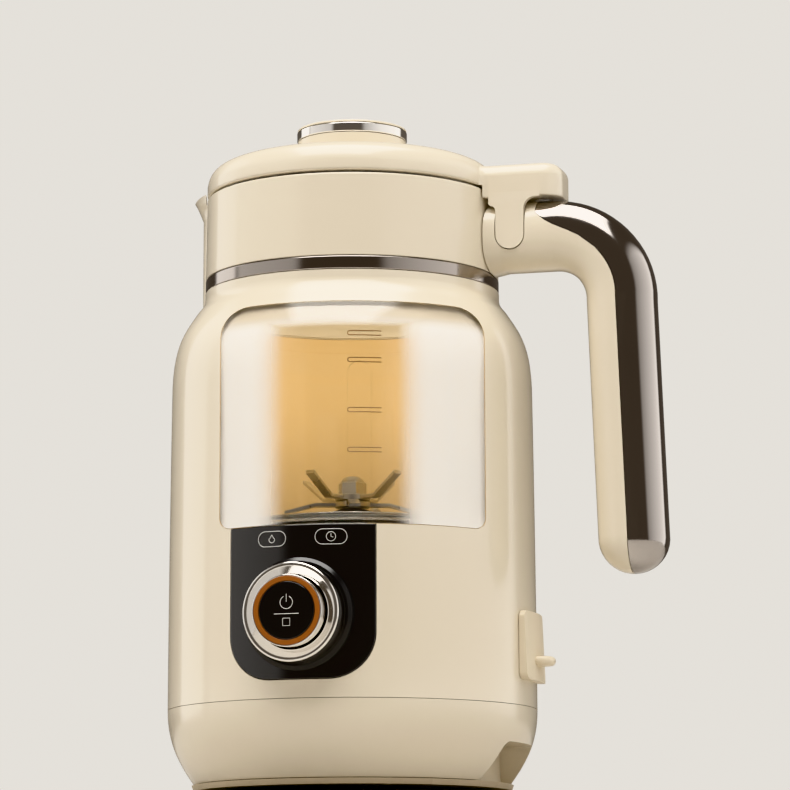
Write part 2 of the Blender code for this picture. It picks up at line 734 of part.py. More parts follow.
def build_base(looks, product):
    """The base shell with its cable bay, the vented bottom cover, the feet and the screws."""
    line = skirt_line()
    inner = beside(line, BODY_WALL)
    lip_outer = BODY_RADIUS - BODY_WALL - FIT_GAP
    lip_inner = lip_outer - LIP_WALL
    outline = line + [
        (lip_outer, BASE_TOP),
        (lip_outer, BASE_TOP + LIP_HEIGHT),
        (lip_inner, BASE_TOP + LIP_HEIGHT),
        (lip_inner, BASE_TOP - LIP_HEIGHT),
    ]
    outline += inner[-2:1:-1] + [
        (FLANGE_RADIUS, BASE_BOTTOM + BODY_WALL),
        (FLANGE_RADIUS, BASE_BOTTOM),
    ]
    shell = turned("base_shell", outline, looks["cream"], product)

    half_top = BAY_TOP_WIDTH / 2
    half_bottom = BAY_BOTTOM_WIDTH / 2
    bay_top = BASE_BOTTOM + BAY_HEIGHT
    bay_corners = [
        (-half_bottom, BASE_BOTTOM - OVERRUN, 0),
        (half_bottom, BASE_BOTTOM - OVERRUN, 0),
        (half_top, bay_top, BAY_CORNER),
        (-half_top, bay_top, BAY_CORNER),
    ]
    wall_corners = [
        (-half_bottom - BODY_WALL, BASE_BOTTOM, 0),
        (half_bottom + BODY_WALL, BASE_BOTTOM, 0),
        (half_top + BODY_WALL, bay_top + BODY_WALL, BAY_CORNER + BODY_WALL),
        (-half_top - BODY_WALL, bay_top + BODY_WALL, BAY_CORNER + BODY_WALL),
    ]
    wall_start = BAY_BACK - BODY_WALL
    bay_wall = outward_prism(
        "bay_wall_form", rounded(wall_corners), HANDLE_SIDE, wall_start, BODY_RADIUS, None, product
    )
    filled = [(0, BASE_BOTTOM)] + line + [(0, BASE_TOP)]
    keep(bay_wall, turned("skirt_form", filled, None, product))
    bay = outward_prism(
        "bay_cutter", rounded(bay_corners), HANDLE_SIDE, BAY_BACK, BODY_RADIUS + OVERRUN, None, product
    )

    screw_places = spread(SCREW_COUNT, SCREW_PLACE, SPOUT_SIDE)
    hole_radius = SCREW_RADIUS + FIT_GAP
    post_top = BASE_BOTTOM + SCREW_POST_HEIGHT
    posts = rods("screw_posts_form", screw_places, SCREW_POST_RADIUS, BASE_BOTTOM, post_top, product)
    below = COVER_BOTTOM - OVERRUN
    hole_top = post_top - SCREW_RADIUS
    post_holes = rods("screw_holes_cutter", screw_places, hole_radius, below, hole_top, product)
    join(shell, bay_wall, posts)
    cut(shell, bay, post_holes)

    cover_outline = [
        (0, COVER_BOTTOM),
        (COVER_RADIUS - COVER_DRAFT, COVER_BOTTOM),
        (COVER_RADIUS, COVER_TOP),
        (0, COVER_TOP),
    ]
    cover = turned("bottom_cover", cover_outline, looks["shadow_cream"], product)
    vents = bmesh.new()
    for index in range(VENT_COUNT):
        turn = math.tau * index / VENT_COUNT
        slot = box_outline(VENT_WIDTH, VENT_START, VENT_END)
        ahead, across = math.cos(turn), math.sin(turn)
        spun = [(x * ahead - y * across, x * across + y * ahead) for x, y in slot]
        add_prism(vents, spun, below, COVER_TOP + OVERRUN)
    foot_places = spread(FOOT_COUNT, FOOT_PLACE, FOOT_DIRECTION)
    foot_seat = COVER_BOTTOM + FOOT_SEAT
    head_top = COVER_BOTTOM + SCREW_HEAD_HEIGHT + FIT_GAP
    cut(
        cover,
        new_piece("vent_cutter", vents, None, product),
        rods(
            "foot_seat_cutter",
            foot_places,
            FOOT_RADIUS + FIT_GAP,
            below,
            foot_seat + FIT_GAP,
            product,
        ),
        rods(
            "screw_head_cutter",
            screw_places,
            SCREW_HEAD_RADIUS + FIT_GAP,
            below,
            head_top + FIT_GAP,
            product,
        ),
        rods("cover_hole_cutter", screw_places, hole_radius, below, COVER_TOP + OVERRUN, product),
    )
    for number, place in enumerate(foot_places, 1):
        outline = [
            (0, 0),
            (FOOT_RADIUS - FOOT_EDGE, 0),
            (FOOT_RADIUS, FOOT_EDGE),
            (FOOT_RADIUS, foot_seat),
            (0, foot_seat),
        ]
        turned(f"foot_{number}", outline, looks["rubber"], product, TINY_STEPS, place=(*place, 0))
    head_bottom = head_top - SCREW_HEAD_HEIGHT
    for number, place in enumerate(screw_places, 1):
        outline = [
            (0, head_bottom),
            (SCREW_HEAD_RADIUS, head_bottom),
            (SCREW_HEAD_RADIUS, head_top),
            (SCREW_RADIUS, head_top),
            (SCREW_RADIUS, head_top + SCREW_LENGTH),
            (0, head_top + SCREW_LENGTH),
        ]
        turned(f"cover_screw_{number}", outline, looks["steel"], product, TINY_STEPS, place=(*place, 0))


def build_body(looks, product):
    """The body shell, the window in it, the chrome band round its neck."""
    line = body_line()
    shell = turned("body_shell", wall_outline(line, BODY_WALL), looks["cream"], product)
    ledge_top = FRAME_HEIGHT - FIT_GAP
    ledge_outline = box_outline(LEDGE_WIDTH, ledge_top - LEDGE_TALL, ledge_top)
    ledge_end = radius_at(line, ledge_top) - BODY_WALL / 2
    for number in range(LEDGE_COUNT):
        direction = LEDGE_FIRST + math.tau * number / LEDGE_COUNT
        name = f"ledge_form_{number + 1}"
        join(shell, outward_prism(name, ledge_outline, direction, LEDGE_START, ledge_end, None, product))
    outer_end = BODY_RADIUS + OVERRUN
    inlet_hole = box_outline(
        INLET_WIDTH + FIT_GAP + FIT_GAP,
        INLET_HEIGHT - INLET_TALL / 2 - FIT_GAP,
        INLET_HEIGHT + INLET_TALL / 2 + FIT_GAP,
        INLET_CORNER,
        INLET_CORNER,
    )
    window_cut = window_outline(FIT_GAP)
    panel_cut = panel_outline(FIT_GAP)
    window_side = WINDOW_DIRECTION
    cut(
        shell,
        outward_prism("window_cutter", window_cut, window_side, WINDOW_CUT_START, outer_end, None, product),
        outward_prism("panel_cutter", panel_cut, FRONT, PANEL_CUT_START, outer_end, None, product),
        outward_prism("inlet_cutter", inlet_hole, HANDLE_SIDE, WINDOW_CUT_START, outer_end, None, product),
    )
    pane = turned("viewing_window", wall_outline(line, BODY_WALL), looks["clear"], product)
    keep(
        pane,
        outward_prism(
            "window_form", window_outline(), window_side, WINDOW_CUT_START, outer_end, None, product
        ),
    )
    inside = COLLAR_BORE + COLLAR_SKIRT_WALL + FIT_GAP
    band = [
        (inside, BAND_BOTTOM),
        (BAND_RADIUS - BAND_EDGE, BAND_BOTTOM),
        (BAND_RADIUS, BAND_BOTTOM + BAND_EDGE),
        (BAND_RADIUS, BAND_TOP - BAND_EDGE),
        (BAND_RADIUS - BAND_EDGE, BAND_TOP),
        (inside, BAND_TOP),
    ]
    turned("chrome_band", band, looks["chrome"], product)


def build_collar(looks, product):
    """The upper housing that carries the handle, and the pouring lip clipped onto it."""
    skirt_radius = COLLAR_BORE + COLLAR_SKIRT_WALL
    skirt_bottom = COLLAR_BOTTOM - COLLAR_SKIRT
    ledge_top = JAR_LIP_BOTTOM - FIT_GAP
    ledge_radius = JAR_RADIUS + RUNNING_GAP
    ledge_slope = COLLAR_BORE - ledge_radius
    outline = [
        (skirt_radius, skirt_bottom),
        (skirt_radius, COLLAR_BOTTOM),
        (COLLAR_FOOT_RADIUS, COLLAR_BOTTOM),
        (COLLAR_RADIUS, COLLAR_TOP - COLLAR_EDGE),
        (COLLAR_RADIUS - COLLAR_EDGE, COLLAR_TOP),
        (COLLAR_BORE, COLLAR_TOP),
        (COLLAR_BORE, ledge_top),
        (ledge_radius, ledge_top),
        (ledge_radius, ledge_top - LIP_HEIGHT),
        (COLLAR_BORE, ledge_top - LIP_HEIGHT - ledge_slope),
        (COLLAR_BORE, skirt_bottom),
    ]
    collar = turned("collar", outline, looks["cream"], product)
    gap_outline = box_outline(POUR_GAP_WIDTH, COLLAR_TOP - POUR_GAP_DEPTH, COLLAR_TOP + OVERRUN)
    gap_end = COLLAR_FOOT_RADIUS + OVERRUN
    cut(
        collar,
        outward_prism("pour_gap_cutter", gap_outline, SPOUT_SIDE, ledge_radius, gap_end, None, product),
    )
    shape = bmesh.new()
    for height in HANDLE_SCREW_HEIGHTS:
        hole = circle_outline(SCREW_RADIUS + FIT_GAP, TINY_STEPS, (0, height))
        add_prism(shape, hole, ledge_radius - OVERRUN, HANDLE_ROOT_END + OVERRUN + OVERRUN)
    turn = (QUARTER_TURN, 0, HANDLE_SIDE)
    screw_tunnel = new_piece("handle_screw_cutter", shape, None, product, turn=turn)
    cut(collar, screw_tunnel)

    line = body_line()
    top = COLLAR_TOP + SPOUT_RIM_LIFT
    beak_bottom = top - SPOUT_BEAK_HEIGHT
    bottom = SHOULDER_TOP - (SPOUT_FOOT_DROP - FOOT_EDGE) / 2
    rest = max(BAND_RADIUS, COLLAR_FOOT_RADIUS) + FIT_GAP

    def lip_ring(height, reach, half_angle, roundness, inset=0.0):
        """One level of the lip: an arc that hugs the housing, then the outside out to its point."""
        back = max(rest, radius_at(line, height) + FIT_GAP) if height < BODY_TOP else rest
        start = back - inset * 2
        steps = range(-CURVE_STEPS // 2, CURVE_STEPS // 2 + 1)
        points = []
        for step in steps:
            angle = SPOUT_SIDE + half_angle * 2 * step / CURVE_STEPS
            points.append((start * math.sin(angle), -start * math.cos(angle), height))
        for step in reversed(steps[1:-1]):
            share = 2 * step / CURVE_STEPS
            swell = 1 - abs(share) ** roundness
            angle = SPOUT_SIDE + half_angle * share
            out = back + (reach - inset - back) * swell
            points.append((out * math.sin(angle), -out * math.cos(angle), height))
        return points

    growth = SPOUT_REACH - SPOUT_RIDGE
    widening = SPOUT_TOP_ANGLE - SPOUT_RIDGE_ANGLE
    pointing = SPOUT_RIDGE_ROUNDNESS - SPOUT_POINT_ROUNDNESS
    levels = [
        (height, SPOUT_RIDGE, SPOUT_RIDGE_ANGLE, SPOUT_RIDGE_ROUNDNESS)
        for height in (bottom, SHOULDER_TOP, beak_bottom)
    ]
    for step in range(1, CORNER_STEPS + 1):
        share = step / CORNER_STEPS
        levels.append(
            (
                beak_bottom + (top - beak_bottom) * share,
                SPOUT_RIDGE + growth * share,
                SPOUT_RIDGE_ANGLE + widening * share,
                SPOUT_RIDGE_ROUNDNESS - pointing * share,
            )
        )
    lip = loft("pour_spout", [lip_ring(*level) for level in levels], looks["cream"], product)
    groove_levels = []
    groove_bottom = COLLAR_TOP - POUR_GAP_DEPTH + SPOUT_WALL
    for share in GROOVE_SHARES:
        groove_levels.append(
            (
                groove_bottom + (top - groove_bottom) * share,
                SPOUT_RIDGE + growth * share,
                SPOUT_RIDGE_ANGLE + widening * share * GROOVE_FLARE_SHARE - GROOVE_ANGLE_INSET,
                SPOUT_RIDGE_ROUNDNESS - pointing * min(share, 1),
                SPOUT_WALL,
            )
        )
    cut(lip, loft("spout_groove_cutter", [lip_ring(*level) for level in groove_levels], None, product))
    return screw_tunnel


def handle_ring(centre, lean, depth, width):
    """One cross-section of the handle, square to its path."""
    points = []
    power = 2 / HANDLE_SQUARENESS
    for step in range(HANDLE_SIDES):
        turn = math.tau * step / HANDLE_SIDES
        out = depth / 2 * math.copysign(abs(math.cos(turn)) ** power, math.cos(turn))
        side = width / 2 * math.copysign(abs(math.sin(turn)) ** power, math.sin(turn))
        points.append((centre[0] + out * math.cos(lean), side, centre[1] + out * math.sin(lean)))
    return points


def handle_path(start):
    """Centres and leans of the handle's cross-sections, from the arm down to the rounded end."""
    bend_height = HANDLE_ARM_HEIGHT - HANDLE_BEND_RADIUS
    end_height = HANDLE_BOTTOM + HANDLE_DEPTH / 2
    end_across = HANDLE_REACH - HANDLE_DEPTH / 2
    grip_top = (HANDLE_BEND_START + HANDLE_BEND_RADIUS, bend_height)
    lean = math.atan2(grip_top[0] - end_across, grip_top[1] - end_height)
    path = [((start, HANDLE_ARM_HEIGHT), QUARTER_TURN)]
    for step in range(CURVE_STEPS + 1):
        turn = QUARTER_TURN + (lean - QUARTER_TURN) * step / CURVE_STEPS
        centre = (
            HANDLE_BEND_START + HANDLE_BEND_RADIUS * math.cos(turn),
            bend_height + HANDLE_BEND_RADIUS * math.sin(turn),
        )
        path.append((centre, turn))
    (last_across, last_height), _ = path[-1]
    path.append((((last_across + end_across) / 2, (last_height + end_height) / 2), lean))
    path.append(((end_across, end_height), lean))
    return path


def handle_form(name, look, product, inset=0.0, start=HANDLE_ROOT_START):
    """The handle's full form, or a core inset from it."""
    depth = HANDLE_DEPTH - inset * 2
    width = HANDLE_WIDTH - inset * 2
    path = handle_path(start)
    rings = []
    if inset == 0:
        growth = HANDLE_ROOT_GROWTH
        for share in HANDLE_ROOT_SHARES:
            across = start + (HANDLE_ROOT_END - start) * (1 - share)
            centre = (across, HANDLE_ARM_HEIGHT - HANDLE_ROOT_DROP * share)
            root_width = width + growth * 2 * share
            rings.append(handle_ring(centre, QUARTER_TURN, depth + growth * share, root_width))
        path[0] = ((HANDLE_ROOT_END, HANDLE_ARM_HEIGHT), QUARTER_TURN)
    rings += [handle_ring(centre, lean, depth, width) for centre, lean in path]
    (end_across, end_height), lean = path[-1]
    for step in range(1, CORNER_STEPS + 1):
        turn = HANDLE_END_TURN * step / CORNER_STEPS
        drop = depth / 2 * math.sin(turn)
        centre = (end_across + drop * math.sin(lean), end_height - drop * math.cos(lean))
        rings.append(handle_ring(centre, lean, depth * math.cos(turn), width * math.cos(turn)))
    return loft(name, rings, look, product)


def trim_region(name, product, gap):
    """The region outside the line that parts the handle's two halves, grown by a gap."""
    path = handle_path(TRIM_START)
    far = HANDLE_REACH + HANDLE_DEPTH
    high = HANDLE_ARM_HEIGHT + HANDLE_DEPTH
    parting = []
    for (across, height), lean in path[1:]:
        parting.append((across, height))
    run = parting[0][0] + HANDLE_BEND_RADIUS - TRIM_START
    line = []
    for share, rise in TRIM_SHARES[:-1]:
        across = TRIM_START + run * share
        below = 0.0
        if across > HANDLE_BEND_START:
            reach = min(across - HANDLE_BEND_START, HANDLE_BEND_RADIUS)
            below = HANDLE_BEND_RADIUS - math.sqrt(HANDLE_BEND_RADIUS**2 - reach**2)
        line.append((across, HANDLE_ARM_HEIGHT - below + TRIM_START_RISE * rise))
    line += [point for point in parting if point[0] > line[-1][0] + HANDLE_WALL]
    line = beside(line, -gap)
    line[0] = (TRIM_START - gap, line[0][1])
    bottom = HANDLE_BOTTOM - OVERRUN
    line.append((line[-1][0], bottom))
    outline = [(x, z) for x, z in line] + [(far, bottom), (far, high), (TRIM_START - gap, high)]
    half = HANDLE_WIDTH
    return prism(name, outline, -half, half, None, product, turn=TURN_TO_FRONT)


def ear_outline(gap=0.0):
    """The U of a lid ear in side view, open upward."""
    half = EAR_WIDTH / 2 + gap
    centre = EAR_BOTTOM + EAR_WIDTH / 2
    points = [(EAR_CENTRE + half, TAB_BOTTOM + OVERRUN)]
    for step in range(CURVE_STEPS + 1):
        turn = -math.pi * step / CURVE_STEPS
        points.append((EAR_CENTRE + half * math.cos(turn), centre + half * math.sin(turn)))
    points.append((EAR_CENTRE - half, TAB_BOTTOM + OVERRUN))
    return points


def build_handle(looks, product, screw_tunnel):
    """The cream half that carries the grip, the chrome half over it, screws and switch."""
    grip = handle_form("handle_grip", looks["cream"], product)
    cover = handle_form("handle_cover", looks["dark_chrome"], product)
    core = handle_form("handle_core_cutter", None, product, HANDLE_WALL, HANDLE_CORE_START)
    clear = max(BAND_RADIUS, COLLAR_FOOT_RADIUS) + FIT_GAP
    root_outline = rod_outline(clear, SHOULDER_TOP, LID_TOP)
    root_cutter = turned("handle_root_cutter", root_outline, None, product)
    pocket = ear_outline(RUNNING_GAP)
    depth = HANDLE_WIDTH / 2 - EAR_THICKNESS - FIT_GAP
    beyond = HANDLE_WIDTH
    front_pocket = prism("front_pocket_cutter", pocket, depth, beyond, None, product, turn=TURN_TO_FRONT)
    rear_pocket = prism("rear_pocket_cutter", pocket, -beyond, -depth, None, product, turn=TURN_TO_FRONT)
    cut(
        grip,
        root_cutter,
        trim_region("trim_region_cutter", product, FIT_GAP),
        core,
        front_pocket,
        rear_pocket,
        screw_tunnel,
    )
    keep(cover, trim_region("trim_region_form", product, 0.0))
    cut(cover, core)
    head = COLLAR_BORE - SCREW_HEAD_HEIGHT - FIT_GAP
    for number, height in enumerate(HANDLE_SCREW_HEIGHTS, 1):
        outline = [
            (0, head),
            (SCREW_HEAD_RADIUS, head),
            (SCREW_HEAD_RADIUS, head + SCREW_HEAD_HEIGHT),
            (SCREW_RADIUS, head + SCREW_HEAD_HEIGHT),
            (SCREW_RADIUS, head + HANDLE_SCREW_LENGTH),
            (0, head + HANDLE_SCREW_LENGTH),
        ]
        turned(
            f"handle_screw_{number}",
            outline,
            looks["steel"],
            product,
            TINY_STEPS,
            place=(0, 0, height),
            turn=(QUARTER_TURN, 0, HANDLE_SIDE),
        )
    ceiling = HANDLE_ARM_HEIGHT + HANDLE_DEPTH / 2 - HANDLE_WALL - REED_DROP
    reed = box_outline(REED_WIDTH, REED_PLACE, REED_PLACE + REED_LENGTH)
    prism(
        "reed_switch",
        reed,
        ceiling - REED_HEIGHT,
        ceiling,
        looks["dark_plastic"],
        product,
        turn=(0, 0, -QUARTER_TURN),
    )


def lid_line():
    """The lid's outer side, from its lower edge up to the flat seat of its knob."""
    low = (LID_RADIUS - LID_CHAMFER, LID_BOTTOM)
    edge = (LID_RADIUS, LID_BOTTOM + LID_CHAMFER)
    side = (LID_RADIUS, LID_BOTTOM + LID_SIDE)
    seat = (LID_SEAT_RADIUS, LID_TOP)
    dome = curve(side, seat, LID_DOME_SHARES, CORNER_STEPS + 1)
    crown = curve(side, seat, LID_CROWN_SHARES, CORNER_STEPS)
    return [low, edge] + dome + crown[1:]


def build_lid(looks, lid):
    """The lid shell with its rear tab and ears, its liner, gasket, magnet and knob."""
    line = lid_line()
    inner = beside(line, LID_WALL)[3::2]
    spigot_hole = GRIP_SPIGOT_RADIUS + FIT_GAP
    outline = line + [(spigot_hole, LID_TOP), (spigot_hole, LID_TOP - LID_WALL)] + inner[::-1]
    inner_radius = LID_RADIUS - LID_WALL
    outline += [(inner_radius, LID_BOTTOM + LID_SIDE), (inner_radius, LID_BOTTOM)]
    shell = turned("lid_shell", outline, looks["cream"], lid)
    half = HANDLE_WIDTH / 2
    start = LID_RADIUS - LID_WALL
    tab_plan = rounded(
        [
            (start, -half, 0),
            (TAB_LENGTH, -half, TAB_END_CORNER),
            (TAB_LENGTH, half, TAB_END_CORNER),
            (start, half, 0),
        ]
    )
    tab = prism("tab_form", tab_plan, TAB_BOTTOM, TAB_TOP, None, lid)
    clear = max(BAND_RADIUS, COLLAR_FOOT_RADIUS) + FIT_GAP
    cut(tab, turned("tab_relief_cutter", rod_outline(clear, BODY_TOP, LID_BOTTOM), None, lid))
    ear = ear_outline()
    ear_floor = half - EAR_THICKNESS
    front_ear = prism("front_ear_form", ear, ear_floor, half, None, lid, turn=TURN_TO_FRONT)
    rear_ear = prism("rear_ear_form", ear, -half, -ear_floor, None, lid, turn=TURN_TO_FRONT)
    join(shell, tab, front_ear, rear_ear)
    pocket = rods(
        "magnet_cutter",
        [(MAGNET_PLACE, 0)],
        MAGNET_RADIUS + FIT_GAP,
        TAB_BOTTOM - OVERRUN,
        TAB_BOTTOM + MAGNET_POCKET,
        lid,
        SMALL_STEPS,
    )
    cut(shell, pocket)
    magnet_top = TAB_BOTTOM + MAGNET_POCKET - FIT_GAP
    magnet = rod_outline(MAGNET_RADIUS, magnet_top - MAGNET_HEIGHT, magnet_top)
    turned("lid_magnet", magnet, looks["steel"], lid, SMALL_STEPS, place=(MAGNET_PLACE, 0, 0))

    floor = JAR_TOP + FIT_GAP
    flange_low = LID_BOTTOM + FIT_GAP
    flange_radius = LID_RADIUS - LID_WALL - FIT_GAP
    plug_bottom = floor - LINER_PLUG_DEPTH
    groove = LINER_PLUG_RADIUS - LINER_PLUG_GROOVE
    groove_low = plug_bottom + LINER_WALL
    groove_high = groove_low + GASKET_HEIGHT + FIT_GAP + FIT_GAP
    liner = [
        (0, floor),
        (groove - LINER_WALL, floor),
        (groove - LINER_WALL, plug_bottom),
        (LINER_PLUG_RADIUS, plug_bottom),
        (LINER_PLUG_RADIUS, groove_low),
        (groove, groove_low),
        (groove, groove_high),
        (LINER_PLUG_RADIUS, groove_high),
        (LINER_PLUG_RADIUS, floor),
        (LINER_RADIUS, floor),
        (LINER_RADIUS, flange_low),
        (flange_radius, flange_low),
        (flange_radius, flange_low + LINER_WALL),
        (LINER_RADIUS - LINER_WALL, flange_low + LINER_WALL),
        (LINER_RADIUS - LINER_WALL, floor + LINER_WALL),
        (0, floor + LINER_WALL),
    ]
    turned("lid_liner", liner, looks["white_plastic"], lid, MIDDLE_STEPS)
    gasket_low = groove_low + FIT_GAP
    gasket = [
        (groove + FIT_GAP, gasket_low),
        (LINER_PLUG_RADIUS, gasket_low),
        (JAR_BORE - FIT_GAP - FIT_GAP, gasket_low + GASKET_HEIGHT / 2),
        (LINER_PLUG_RADIUS, gasket_low + GASKET_HEIGHT),
        (groove + FIT_GAP, gasket_low + GASKET_HEIGHT),
    ]
    turned("lid_gasket", gasket, looks["silicone"], lid, MIDDLE_STEPS)

    spigot = GRIP_RING_RADIUS - GRIP_RING_WALL - FIT_GAP
    under = LID_TOP - LID_WALL - FIT_GAP
    knob = [
        (0, under - GRIP_BARB_HEIGHT),
        (GRIP_SPIGOT_RADIUS - GRIP_BARB, under - GRIP_BARB_HEIGHT),
        (GRIP_SPIGOT_RADIUS + GRIP_BARB, under - GRIP_EDGE),
        (GRIP_SPIGOT_RADIUS + GRIP_BARB, under),
        (GRIP_SPIGOT_RADIUS, under),
        (GRIP_SPIGOT_RADIUS, GRIP_BOTTOM),
        (GRIP_RADIUS - GRIP_EDGE, GRIP_BOTTOM),
        (GRIP_RADIUS, GRIP_BOTTOM + GRIP_EDGE),
        (GRIP_RADIUS, GRIP_TOP),
        (spigot, GRIP_TOP),
        (spigot, GRIP_RING_TOP),
        (0, GRIP_RING_TOP),
    ]
    turned("lid_knob", knob, looks["cream"], lid, MIDDLE_STEPS)
    ring = [
        (spigot + FIT_GAP, GRIP_RING_BOTTOM),
        (GRIP_RING_RADIUS, GRIP_RING_BOTTOM),
        (GRIP_RING_RADIUS, GRIP_RING_TOP),
        (spigot + FIT_GAP, GRIP_RING_TOP),
    ]
    turned("knob_ring", ring, looks["chrome"], lid, MIDDLE_STEPS)
    cap_top = GRIP_CAP_BOTTOM + GRIP_CAP_HEIGHT
    cap = [
        (0, GRIP_CAP_BOTTOM),
        (GRIP_RADIUS, GRIP_CAP_BOTTOM),
        (GRIP_RADIUS - BAND_EDGE, cap_top),
        (0, cap_top),
    ]
    turned("knob_cap", cap, looks["cream"], lid, MIDDLE_STEPS)


def build_jar(looks, product):
    """The clear jar with its flow ribs, and the heating plate clamped into its floor."""
    floor_edge = JAR_RADIUS - JAR_CORNER
    outer = rounded(
        [
            (JAR_HOLE, JAR_BOTTOM, 0),
            (JAR_RADIUS, JAR_BOTTOM, JAR_CORNER),
            (JAR_RADIUS, JAR_LIP_BOTTOM, 0),
            (JAR_LIP_RADIUS, JAR_LIP_BOTTOM, 0),
            (JAR_LIP_RADIUS, JAR_TOP, 0),
            (JAR_BORE, JAR_TOP, 0),
            (JAR_BORE, JAR_FLOOR_TOP, JAR_CORNER - JAR_WALL / 2),
            (JAR_HOLE, JAR_FLOOR_TOP, 0),
        ]
    )
    jar = turned("inner_jar", outer, looks["clear"], product, MIDDLE_STEPS)
    rib = box_outline(RIB_WIDTH, RIB_BOTTOM, RIB_TOP, RIB_WIDTH / 2 - WELD, RIB_WIDTH / 2 - WELD)
    for number in range(RIB_COUNT):
        direction = RIB_FIRST + math.tau * number / RIB_COUNT
        rib_start = JAR_BORE - RIB_DEPTH
        rib_end = JAR_BORE + JAR_WALL / 2
        join(jar, outward_prism(f"rib_form_{number + 1}", rib, direction, rib_start, rib_end, None, product))
    gasket_low = JAR_FLOOR_TOP + FIT_GAP
    gasket_top = gasket_low + GASKET_THICKNESS
    gasket = tube_outline(JAR_HOLE + FIT_GAP, PLATE_RADIUS - FIT_GAP, gasket_low, gasket_top)
    turned("jar_gasket", gasket, looks["silicone"], product, MIDDLE_STEPS)
    boss = JAR_HOLE - FIT_GAP
    plate = [
        (PLATE_BORE, BOSS_BOTTOM),
        (boss, BOSS_BOTTOM),
        (boss, PLATE_BOTTOM),
        (PLATE_RADIUS, PLATE_BOTTOM),
        (PLATE_RADIUS, PLATE_TOP - BAND_EDGE),
        (PLATE_RADIUS - BAND_EDGE, PLATE_TOP),
        (PLATE_HUB_RADIUS + PLATE_HUB_HEIGHT, PLATE_TOP),
        (PLATE_HUB_RADIUS, HUB_TOP),
        (PLATE_BORE, HUB_TOP),
    ]
    heater = turned("heating_plate", plate, looks["steel"], product, MIDDLE_STEPS)
    probe_hole = rods(
        "probe_hole_cutter",
        [(0, PROBE_PLACE)],
        PROBE_RADIUS + FIT_GAP,
        BOSS_BOTTOM - OVERRUN,
        PLATE_TOP + OVERRUN,
        product,
    )
    cut(heater, probe_hole)
    tip_width, tip_drop = PROBE_TIP_SHARES
    probe = [
        (0, BOSS_BOTTOM),
        (PROBE_RADIUS, BOSS_BOTTOM),
        (PROBE_RADIUS, PLATE_TOP + PROBE_HEIGHT - PROBE_RADIUS),
        (PROBE_RADIUS * tip_width, PLATE_TOP + PROBE_HEIGHT - PROBE_RADIUS * tip_drop),
        (0, PLATE_TOP + PROBE_HEIGHT),
    ]
    turned("temperature_probe", probe, looks["steel"], product, TINY_STEPS, place=(0, PROBE_PLACE, 0))
    clamp = tube_outline(boss + FIT_GAP, CLAMP_RADIUS, CLAMP_BOTTOM, CLAMP_TOP)
    turned("clamp_ring", clamp, looks["white_plastic"], product, MIDDLE_STEPS)


def build_frame(looks, product):
    """The inner frame that stands on the body's ledges, and the heat sleeve round the jar."""
    inner = beside(body_line(), BODY_WALL)
    reach = min(radius_at(inner, FRAME_HEIGHT), radius_at(inner, FRAME_TOP)) - FIT_GAP - FIT_GAP
    ring_outer = CLAMP_RADIUS
    ring_inner = CLAMP_RADIUS - FRAME_RING_WALL
    outline = [
        (FRAME_BORE, FRAME_HEIGHT),
        (reach, FRAME_HEIGHT),
        (reach, FRAME_TOP),
        (ring_outer, FRAME_TOP),
        (ring_outer, FRAME_RING_TOP),
        (ring_inner, FRAME_RING_TOP),
        (ring_inner, FRAME_TOP),
        (FRAME_BORE, FRAME_TOP),
    ]
    frame = turned("inner_frame", outline, looks["white_plastic"], product, MIDDLE_STEPS)
    front = box_outline(BODY_RADIUS * 2, FRAME_HEIGHT - OVERRUN, FRAME_TOP + OVERRUN)
    cut(frame, outward_prism("frame_front_cutter", front, FRONT, FRAME_FRONT, BODY_RADIUS, None, product))
    sleeve = tube_outline(SLEEVE_RADIUS - SLEEVE_WALL, SLEEVE_RADIUS, FRAME_TOP + FIT_GAP, SLEEVE_TOP)
    sleeve_piece = turned("heat_sleeve", sleeve, looks["warm_metal"], product, MIDDLE_STEPS)
    opening = box_outline(WINDOW_WIDTH, PANEL_TOP, SLEEVE_TOP + OVERRUN)
    relief = box_outline(BODY_RADIUS * 2, FRAME_HEIGHT, PANEL_TOP + OVERRUN)
    cut(
        sleeve_piece,
        outward_prism("sleeve_cutter", opening, WINDOW_DIRECTION, 0, BODY_RADIUS, None, product),
        outward_prism("sleeve_relief_cutter", relief, FRONT, FRAME_FRONT, BODY_RADIUS, None, product),
    )


